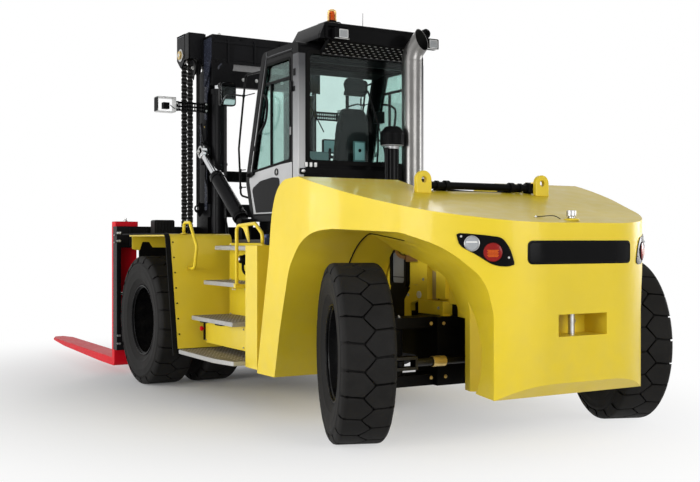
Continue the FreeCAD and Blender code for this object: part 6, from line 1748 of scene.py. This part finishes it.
def seat_pads():
    cushion = pad("seat_cushion_pad", [(0.835, 2.446, 0.04), (1.345, 2.446, 0.02), (1.345, 2.565, 0.04),
                                       (0.835, 2.595, 0.05)], 0.26,
                  [lambda p: abs(p.x) - 0.165 if p.z > 2.53 else 1.0,
                   lambda p: p.y - 1.03 if p.z > 2.53 and abs(p.x) < 0.165 else 1.0,
                   lambda p: p.y - 1.18 if p.z > 2.53 and abs(p.x) < 0.165 else 1.0], lambda p: p.z < 2.475)
    piping(cushion, "cushion_piping", [ring_of_rays(-0.205, 0.205, 0.885, 1.3, lambda u, v: (u, v, 2.9),
                                                    (0, 0, -1))])
    foot, top = Vector((0, 1.39, 2.585)), Vector((0, 1.48, 3.445))
    lean = (top - foot).normalized()
    behind = Vector((0, lean.z, -lean.y))

    def along(p):
        return (p - foot).dot(lean)

    def front(p):
        return (p - foot).dot(behind) < -0.075

    back = pad("seat_back_pad", [(1.255, 2.61, 0.03), (1.39, 2.585, 0.02), (1.48, 3.445, 0.045),
                                 (1.37, 3.45, 0.045)], 0.25,
               [lambda p: abs(p.x) - 0.15 if front(p) else 1.0,
                lambda p: along(p) - 0.25 if front(p) and abs(p.x) < 0.15 else 1.0,
                lambda p: along(p) - 0.45 if front(p) and abs(p.x) < 0.15 else 1.0,
                lambda p: along(p) - 0.65 if front(p) and abs(p.x) < 0.15 else 1.0],
               lambda p: abs(p.x) < 0.1 and 0.02 < along(p) < 0.16 and (p - foot).dot(behind) > -0.03,
               lambda p: shouldered(p, foot.z, top.z, 0.24, 0.09))
    piping(back, "back_piping", [ring_of_rays(-0.215, 0.215, 2.68, 3.4, lambda u, v: (u, 2.2, v),
                                              (0, -1, 0), 0.09),
                                 ring_of_rays(-0.2, 0.2, 2.7, 3.38, lambda u, v: (u, 0.6, v), (0, 1, 0),
                                              0.08)])
    head = pad("headrest_pad", [(1.395, 3.545, 0.03), (1.49, 3.535, 0.03), (1.515, 3.795, 0.04),
                                (1.42, 3.8, 0.04)], 0.16, [lambda p: p.z - 3.6 if p.y > 1.46 else 1.0],
               lambda p: abs(abs(p.x) - 0.095) < 0.02 and p.z < 3.57,
               lambda p: shouldered(p, 3.54, 3.8, 0.15, 0.16))
    piping(head, "headrest_piping", [ring_of_rays(-0.13, 0.13, 3.575, 3.765, lambda u, v: (u, 2.2, v),
                                                  (0, -1, 0), 0.05)])
    for obj, node in ((cushion, "seat_cushion"), (back, "seat_backrest")):
        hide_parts(node)


cab_interior()
seat_pads()


# ---------------------------------------------------------------- mast
CHAIN_PITCH = 0.0508
MAST_SIDE = 0.8           # outer face of the outer mast
LIFT_CYLINDER = (0.68, -1.065)
TILT_FOOT = Vector((0.9, 0.255, 2.03))
TILT_EYE = Vector((0.9, -1.135, 3.04))
TILT_AXIS = Vector((0.0, -0.808988, 0.587826))
TILT_UP = Vector((0, TILT_AXIS.z, -TILT_AXIS.y))
CHAIN_SPAN = (0.915, 0.995)
SHEAVE = Vector((0, -1.57, 4.42))
SHEAVE_RADIUS = 0.112


def link_outline(length, half, steps=4):
    """Figure-eight plate along its first axis, waisted between the two pins."""
    points = []
    for side, start in ((1, -90), (-1, 90)):
        for k in range(steps + 1):
            angle = math.radians(start + 180 * k / steps)
            points.append((side * length / 2 + half * math.cos(angle), half * math.sin(angle)))
        points.append((0, side * half * 0.72))
    return points


def chain(build, path):
    """Leaf chain along pin places (y, z): plates that alternate between two sets, and riveted pins."""
    x0, x1 = CHAIN_SPAN
    plate, half = 0.0085, 0.0165
    for k, (a, b) in enumerate(zip(path, path[1:])):
        a, b = Vector((0, *a)), Vector((0, *b))
        along = (b - a).normalized()
        across = Vector((0, -along.z, along.y))
        middle = (a + b) / 2
        place = Matrix(((0, 0, 1, 0), (along.y, across.y, 0, middle.y), (along.z, across.z, 0, middle.z),
                        (0, 0, 0, 1)))
        outline = link_outline((b - a).length, half)
        for i in range(4 if k % 2 else 5):
            x = x0 + 0.0015 + plate * (2 * i + (k % 2))
            if x + plate < x1:
                build.prism(outline, x, x + plate * 0.92, place)
    for y, z in path:
        build.rod((x0 - 0.002, y, z), (x1 + 0.002, y, z), 0.0085, 10)


def straight(y, z0, z1):
    count = max(2, round((z1 - z0) / CHAIN_PITCH))
    return [(y, z0 + (z1 - z0) * k / count) for k in range(count + 1)]


def chains():
    """Leaf chains on both sides of the sheaves and round them."""
    for name, node, y, pair in (("rear_chains", "rear_chain_legs", SHEAVE.y + SHEAVE_RADIUS,
                                 ("outer_mast", "inner_mast")),
                                ("front_chains", "front_chain_legs", SHEAVE.y - SHEAVE_RADIUS,
                                 ("inner_mast", "carriage"))):
        made = Build("chain", True)
        lo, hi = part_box(node)
        chain(made, straight(y, lo.z + 0.018, hi.z - 0.01))
        obj = made.piece(name, None, 0.0, [node])
        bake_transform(obj)
    wrap = Build("chain", True)
    chain(wrap, [(SHEAVE.y + SHEAVE_RADIUS * math.cos(math.pi * k / 7),
                  SHEAVE.z + SHEAVE_RADIUS * math.sin(math.pi * k / 7)) for k in range(8)])
    wrap.piece("chain_wraps", "inner_mast")


def sheave_house():
    """Pin heads and edge plates of the crosshead, and the hose sheave with its guard."""
    made = Build("zinc", True)
    face = high("inner_mast").x
    pin = stand((face, SHEAVE.y, SHEAVE.z), LEFT)
    made.cap([(0, 0.088), (0.008, 0.088), (0.012, 0.08)], pin, 40)
    made.use("brass")
    made.prism(circle(0.064, 6), 0.01, 0.03, pin)
    made.use("zinc")
    made.cap([(0.028, 0.03), (0.038, 0.027)], pin, 24)
    made.use("sheen")
    made.prism([(-1.712, 4.668, 0.03), (-1.418, 4.668, 0.03), (-1.418, 4.684, 0.004),
                (-1.712, 4.684, 0.004)], 0.0, 0.004, plane_x(face))
    made.use("mast")
    made.prism([(-1.4, 4.26), (-1.4, 4.6, 0.03), (-1.24, 4.6, 0.03), (-1.24, 4.26)], 0.832, 0.862,
               plane_x(0))
    wheel = stand((0.88, -1.33, 4.22), LEFT)
    made.box(0.865, 0.878, -1.37, -1.29, 4.16, 4.42)
    made.use("plastic")
    made.turn([(0.0, 0.028), (0.0, 0.105), (0.012, 0.105), (0.02, 0.082), (0.036, 0.078), (0.052, 0.082),
               (0.06, 0.105), (0.072, 0.105), (0.072, 0.028)], wheel, 40)
    made.use("zinc")
    made.cap([(0, 0.028), (0.078, 0.028), (0.082, 0.02)], wheel, 24)
    made.bolt((0.962, -1.33, 4.22), LEFT, 0.036)
    made.use("mast")
    made.prism([(-1.455, 4.33, 0.01), (-1.3, 4.33, 0.01), (-1.22, 4.22, 0.02), (-1.3, 4.05, 0.03),
                (-1.345, 4.05, 0.02), (-1.285, 4.22, 0.02), (-1.345, 4.285, 0.02), (-1.455, 4.285, 0.01)],
               0.958, 0.964, plane_x(0), 4)
    made.prism([(0.8, 4.34), (face, 4.34), (face, 4.69, 0.012), (0.8, 4.69)], 0.0, 0.01, plane_y(-1.272))
    made.prism([(-1.43, 4.34), (-1.43, 4.69), (-1.262, 4.69, 0.012), (-1.262, 4.34)], -0.012, 0.0,
               plane_x(face))
    made.prism(rectangle(-1.715, -1.262, 0.82, face), 0.0, 0.006,
               Matrix(((0, 1, 0, 0), (1, 0, 0, 0), (0, 0, 1, 4.69), (0, 0, 0, 1))))
    # curved shoulder plate in the blue of the painted sheen
    made.use("sheen")
    made.prism([(-1.25, 4.6, 0.02), (-0.965, 4.6, 0.02), (-0.965, 4.34, 0.05), (-1.06, 4.14, 0.2),
                (-1.17, 4.00, 0.1), (-1.25, 3.93, 0.02)], 0.0, 0.014, plane_x(0.823), 8)
    made.use("mast")
    made.prism([(0.837, 4.62, 0.02), (0.5, 4.62, 0.02), (0.52, 4.2, 0.12), (0.6, 3.96, 0.05),
                (0.837, 3.935, 0.01)], 0.0, 0.01, plane_y(-0.957), 6)
    made.piece("hose_sheaves", "inner_mast", 0.002)


def crosshead_trim():
    """Ribs, bolts and bent bars on the crosshead, and the caps of the lift rods."""
    made = Build("mast")
    lo_z, hi_z = 4.25, 4.64
    back = -0.955
    for x in (-0.6, -0.2, 0.2, 0.6):
        made.box(x - 0.012, x + 0.012, back, back + 0.03, lo_z + 0.02, hi_z - 0.04)
    made.box(-0.82, 0.82, back, back + 0.02, 4.53, 4.555)
    made.box(-0.82, 0.82, back, back + 0.014, 4.3, 4.318)
    made.mirror = True
    for x, z in ((0.77, 4.6), (0.77, 4.28), (0.4, 4.6)):
        made.bolt((x, back, z), BACK, 0.034)
    made.use("zinc")
    made.cap([(0, 0.052), (0.012, 0.052), (0.016, 0.04)], upright(*LIFT_CYLINDER, 4.64), 30)
    made.bolt((*LIFT_CYLINDER, 4.652), UP, 0.05)
    made.use("sheen")
    made.tube([(0.7, back + 0.012, 4.245), (0.735, back + 0.006, 4.2), (0.74, back - 0.02, 4.12),
               (0.7, back - 0.045, 4.05)], 0.013, 10)
    made.piece("crosshead_trim", "inner_mast", 0.002)


def mast_plates():
    """Gussets, slotted and holed plates, cylinder bands and tilt pins of the outer mast."""
    # gussets and plates in the blue of the painted sheen
    made = Build("sheen", True)
    outer = plane_x(MAST_SIDE)
    made.prism([(-1.275, 3.26, 0.01), (-1.275, 4.185, 0.01), (-1.108, 4.185, 0.03), (-1.112, 3.98, 0.2),
                (-1.205, 3.78, 0.3), (-1.215, 3.26, 0.01)], 0.0, 0.015, outer, 8)
    made.prism([(-1.275, 2.25, 0.02), (-1.275, 2.8, 0.05), (-1.198, 2.8, 0.02), (-1.198, 2.25, 0.02)], 0.0,
               0.012, outer)
    slot = rectangle(-1.52, -1.435, 3.06, 3.42, 0.04)
    made.frame(rectangle(-1.56, -1.395, 3.02, 3.46, 0.078), slot, 0.0, 0.018, outer, 8)
    made.use("plastic")
    made.prism(slot, 0.0, 0.004, outer, 8)
    made.use("mast")
    made.prism([(-1.38, 3.2, 0.02), (-1.34, 3.5, 0.02), (-1.19, 3.5, 0.02), (-1.198, 3.2, 0.02)], 0.015,
               0.024, outer, 4)
    made.tube([(0.822, -1.37, 3.46), (0.824, -1.32, 3.3), (0.822, -1.24, 3.15)], 0.013, 10)
    # plate with a round hole beside the chain
    beside = plane_y(-1.385)
    hole = circle(0.024, 24, 0.875, 2.275)
    rim = []
    for k in range(24):
        angle = math.pi / 12 * k
        c, s = math.cos(angle), math.sin(angle)
        reach = 0.046 if c > -0.25 else min(0.092, 0.046 / max(0.2, -c) * 0.9 + 0.03)
        rim.append((0.875 + reach * c, 2.275 + reach * s * (1.0 if s > 0 else 1.35)))
    made.frame(rim, hole, -0.006, 0.006, beside)
    made.prism([(0.8, 2.2, 0.01), (0.8, 2.36, 0.01), (0.835, 2.34, 0.01), (0.835, 2.19, 0.01)], -0.008,
               0.008, beside, 3)
    made.use("mast")
    for z0, z1, radius in ((3.835, 3.903, 0.119), (2.86, 2.89, 0.113), (1.6, 1.63, 0.113)):
        made.sleeve(z0, z1, 0.104, radius, upright(*LIFT_CYLINDER, 0), 48)
    made.use("zinc")
    for z in (2.24, 4.075):
        for x in (0.3, 0.1):
            made.bolt((x, -1.105, z), BACK, 0.034)
    made.use("brass")
    made.bolt((0.815, -1.245, 3.62), LEFT, 0.032)
    made.bolt((0.815, -1.245, 3.4), LEFT, 0.026)
    made.use("zinc")
    pin = stand((0.954, *TILT_EYE.yz), LEFT)
    made.cap([(0, 0.036), (0.01, 0.034)], pin, 28)
    made.bolt((0.962, *TILT_EYE.yz), LEFT, 0.034)
    made.use("chrome")
    made.prism([(-1.31, 3.1, 0.012), (-1.25, 3.17, 0.012), (-1.205, 3.13, 0.012), (-1.255, 3.05, 0.012)],
               0.042, 0.06, outer, 4)
    made.use("hose")
    made.tube([(0.835, -1.095, 2.36), (0.84, -1.1, 2.55), (0.845, -1.17, 2.7), (0.83, -1.19, 2.9)], 0.012,
              10)
    made.tube([(0.6, -1.13, 0.62), (0.58, -0.945, 0.9), (0.575, -0.935, 1.4), (0.6, -0.95, 1.9),
               (0.64, -0.955, 2.14)], 0.016, 10)
    made.piece("mast_plates", "outer_mast", 0.002)


def tilt_glands():
    """Gland rings, ports and pipes of the tilt cylinders."""
    place = stand(TILT_FOOT, TILT_AXIS)

    def spot(along, rise):
        return TILT_FOOT + TILT_AXIS * along + TILT_UP * rise

    made = Build("gloss", True)
    made.turn([(1.03, 0.09), (1.03, 0.1), (1.085, 0.1), (1.092, 0.096), (1.114, 0.094), (1.114, 0.052),
               (1.09, 0.052), (1.09, 0.09)], place, 48)
    made.sleeve(0.15, 0.185, 0.09, 0.098, place, 48)
    made.rod(spot(1.02, 0.085), spot(1.02, 0.125), 0.024, 20)
    made.rod(spot(0.24, 0.085), spot(0.24, 0.125), 0.024, 20)
    made.tube([spot(1.02, 0.118), spot(0.92, 0.125), spot(0.5, 0.112), spot(0.3, 0.112), spot(0.2, 0.14)],
              0.011, 10)
    made.use("zinc")
    for angle in range(0, 360, 45):
        c, s = math.cos(math.radians(angle + 20)), math.sin(math.radians(angle + 20))
        made.bolt(place @ Vector((0.074 * c, 0.074 * s, 1.11)), TILT_AXIS, 0.018, False)
    made.piece("tilt_glands", "tilt_barrels", 0.0015)


def tilt_eyes():
    """Bosses, washers and grease bolts of the rods' eyes."""
    rod = Build("chrome", True)
    rod.turn([(-0.046, 0.0495), (-0.046, 0.056), (-0.02, 0.064), (0.0, 0.064), (0.0, 0.0495)],
             stand(TILT_EYE - TILT_AXIS * 0.074, TILT_AXIS), 32)
    rod.use("zinc")
    for side in (1, -1):
        x = TILT_EYE.x + side * 0.0355
        rod.turn([(0, 0.06), (0, 0.082), (0.004, 0.08), (0.004, 0.062)],
                 stand((x, *TILT_EYE.yz), (side, 0, 0)), 40)
    rod.bolt(TILT_EYE + TILT_UP * 0.084, TILT_UP, 0.026)
    rod.piece("tilt_eyes", "tilt_rods", 0.0015)


def mast_lamp_units():
    """Work lamps in open silver frames on perforated arms, left and right of the mast."""
    lo, hi = slice_box("mast_lamps", lambda p: p.x > 1.29)
    made = Build("zinc", True)
    x0, x1, y0, y1, z0, z1 = 1.29, 1.55, lo.y, hi.y, 3.56, 3.76
    made.frame(rectangle(x0, x1, z0, z1, 0.014), rectangle(x0 + 0.01, x1 - 0.01, z0 + 0.01, z1 - 0.01,
                                                           0.008), 0, y1 - y0, plane_y(y0))
    made.use("plastic")
    made.box(x1 - 0.004, x1 + 0.002, y0 - 0.001, y1 + 0.001, z0 + 0.01, z1 - 0.01)
    made.box(x0, x1, y0 - 0.001, y1 + 0.001, z1 - 0.002, z1 + 0.002)
    made.box(1.375, 1.46, y0 + 0.034, y0 + 0.115, z0 + 0.045, z0 + 0.13)
    for k in range(4):
        made.box(1.38 + 0.02 * k, 1.386 + 0.02 * k, y0 + 0.113, y0 + 0.126, z0 + 0.052, z0 + 0.124)
    made.use("white_lens")
    made.prism(rectangle(1.382, 1.453, z0 + 0.052, z0 + 0.123, 0.006), -0.004, 0.002, plane_y(y0 + 0.034))
    made.use("black")
    a, b = MAST_SIDE + 0.0005, 1.288
    rows, columns = 2, 13
    foot, top = 3.605, 3.705
    arm = (-1.194, -1.182)
    for r in range(rows + 1):
        z = foot + (top - foot) * r / rows
        made.box(a, b, *arm, z - 0.012, z + 0.012)
    for c in range(columns + 1):
        x = a + 0.008 + (b - a - 0.016) * c / columns
        made.box(x - 0.008, x + 0.008, *arm, foot, top)
    made.box(a, b, -1.194, -1.16, top + 0.004, top + 0.012)
    made.box(1.235, 1.292, -1.2, -1.15, 3.59, 3.72)
    made.box(a, a + 0.06, -1.205, -1.15, 3.585, 3.725)
    made.use("zinc")
    for x, z in ((1.262, 3.625), (1.262, 3.69), (0.836, 3.61), (0.836, 3.7)):
        made.bolt((x, -1.15, z), BACK, 0.02)
    made.use("hose")
    made.tube([(1.36, y0 + 0.1, z0 + 0.1), (1.31, -1.14, 3.62), (1.2, -1.15, 3.598), (1.0, -1.152, 3.6),
               (0.83, -1.15, 3.58)], 0.006, 8)
    made.piece("mast_lamp_units", "outer_mast", 0.0015, ["mast_lamps"])


def mast_hoses():
    """Hose pairs from the outer mast up to the hose sheave."""
    made = Build("hose", True)
    y = -1.258
    for x in (0.905, 0.931):
        made.tube([(x, y, 2.3 + 0.096 * k) for k in range(21)], 0.0115, 10, 0)
    obj = made.piece("rear_hoses", None)
    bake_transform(obj)


def carriage_kit():
    """Ribs, rod, bolts, unions and hoses of the carriage."""
    made = Build("mast", True)
    y1 = -1.6247
    for z0, z1 in ((1.74, 2.01), (0.34, 0.61)):
        for x in (1.32, 1.52, 1.76):
            made.box(x - 0.01, x + 0.01, y1, y1 + 0.02, z0 + 0.01, z1 - 0.01)
    made.box(1.25, 1.8, y1, y1 + 0.03, 1.25, 1.32)
    made.use("chrome")
    made.rod((1.04, -1.7, 1.1), (1.9, -1.7, 1.1), 0.026, 24)
    made.use("zinc")
    for x in (1.935, 1.905):
        for z in (1.82, 1.93, 0.42, 0.53):
            made.bolt((x, y1, z), BACK, 0.022)
    for z in (1.9, 1.8):
        made.bolt((1.95, -1.7, z), LEFT, 0.026, False)
    made.use("brass")
    for x in (1.15, 1.2, 1.25):
        made.cap([(0, 0.014), (0.03, 0.014), (0.034, 0.01)], stand((x, y1, 1.9), BACK), 6)
    made.use("hose")
    made.tube([(1.15, y1 + 0.035, 1.9), (1.05, y1 + 0.09, 1.87), (0.96, y1 + 0.1, 1.7),
               (0.93, y1 + 0.04, 1.45)], 0.012, 10)
    made.tube([(1.2, y1 + 0.035, 1.9), (1.08, y1 + 0.11, 1.84), (1.0, y1 + 0.11, 1.65),
               (0.96, y1 + 0.04, 1.42)], 0.012, 10)
    made.piece("carriage_kit", "carriage", 0.002)


def fork_latches():
    """Pins on the fork shanks that drop into the carriage's notches."""
    for name in ("left_fork", "right_fork"):
        fork = Build("zinc")
        lo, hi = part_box(name)
        x = (lo.x + hi.x) / 2
        fork.cap([(0, 0.03), (0.012, 0.03), (0.03, 0.018), (0.045, 0.018), (0.048, 0.012)],
                 upright(x, -1.79, hi.z), 28)
        fork.use("red")
        fork.box(lo.x + 0.02, hi.x - 0.02, -1.9, -1.8955, 0.3, 0.34)
        fork.piece(name + "_latch", name, 0.002)


chains()
sheave_house()
crosshead_trim()
mast_plates()
tilt_glands()
tilt_eyes()
mast_lamp_units()
mast_hoses()
carriage_kit()
fork_latches()


# ---------------------------------------------------------------- floor, light and camera
def studio_floor():
    """Pale floor that keeps the shadow and fades to plain white away from the truck."""
    s = Shade("studio_floor")
    x, y, _ = s.axes()
    across = s.math("POWER", s.math("SUBTRACT", x, 0.9), 2.0)
    ahead = s.math("POWER", s.math("SUBTRACT", y, 0.2), 2.0)
    radius = s.math("SQRT", s.math("ADD", s.math("MULTIPLY", across, 1.6), ahead))
    fade = s.range(radius, 0.0, 7.5, interpolation_type="SMOOTHSTEP")
    tone = s.mix(s.noise(3.0), (0.93, 0.93, 0.93), (0.95, 0.95, 0.95))
    matte = s.shader("BsdfPrincipled", Base_Color=tone, Roughness=0.9, Specular_IOR_Level=0.0)
    glow = s.shader("Emission", Color=(1, 1, 1))
    return s.end(s.blend(s.math("MULTIPLY", fade, s.seen()), matte, glow))


def studio_sky():
    """Light that is pale low down and dark overhead, and plain white where the camera sees it."""
    s = Shade("studio", "World")
    ramp = s.node("ValToRGB")
    s.put(ramp.inputs[0], s.axes(s.spots["Generated"])["Z"])
    stops = ((0.05, (0.74, 0.74, 0.74, 1)), (0.95, (0.1, 0.102, 0.105, 1)))
    for stop, (height, colour) in zip(ramp.color_ramp.elements, stops):
        stop.position = height
        stop.color = colour
    light = s.shader("Background", Color=ramp.outputs[0], Strength=0.8)
    return s.end(s.blend(s.seen(), light, s.shader("Background", Color=(1, 1, 1))))


M["floor"] = studio_floor()
floor = Build("floor")
floor.add([(-60, -60, 0), (60, -60, 0), (60, 60, 0), (-60, 60, 0)], [(0, 1, 2, 3)])
floor.piece("studio_floor", None)

bpy.context.scene.world = studio_sky()


def softbox(name, at, aim, power, width, height):
    data = bpy.data.lights.new(name, "AREA")
    data.shape = "RECTANGLE"
    data.size = width
    data.size_y = height
    data.energy = power
    lamp = bpy.data.objects.new(name, data)
    lamp.location = at
    lamp.rotation_euler = (Vector(aim) - Vector(at)).to_track_quat("-Z", "Y").to_euler()
    bpy.context.scene.collection.objects.link(lamp)


softbox("key", (8.0, 3.6, 8.4), (0.6, 2.4, 1.5), 40.0, 4.0, 4.0)
softbox("side", (12.5, 6.0, 2.9), (0, 1.8, 1.3), 640.0, 5.0, 4.0)
softbox("low_side", (12.0, -4.0, 2.4), (0, 2.4, 1.2), 420.0, 5.0, 3.0)
softbox("fill", (-1.0, 16.0, 4.0), (0, 2.0, 1.5), 610.0, 7.0, 5.0)
softbox("front", (-8.0, -12.0, 8.0), (0, 0.0, 1.6), 420.0, 6.0, 5.0)
softbox("right", (-12.5, 3.0, 3.4), (0, 1.8, 1.3), 420.0, 5.0, 4.0)

camera_data = bpy.data.cameras.new("camera")
camera_data.lens = 52.09
camera_data.sensor_width = 36.0
camera = bpy.data.objects.new("camera", camera_data)
camera.location = (6.167, 11.899, 1.842)
camera.rotation_euler = tuple(math.radians(a) for a in (89.91, 0.0, 149.71))
camera_data.clip_end = 400.0
bpy.context.scene.collection.objects.link(camera)
bpy.context.scene.camera = camera
bpy.context.scene.view_settings.view_transform = "Standard"
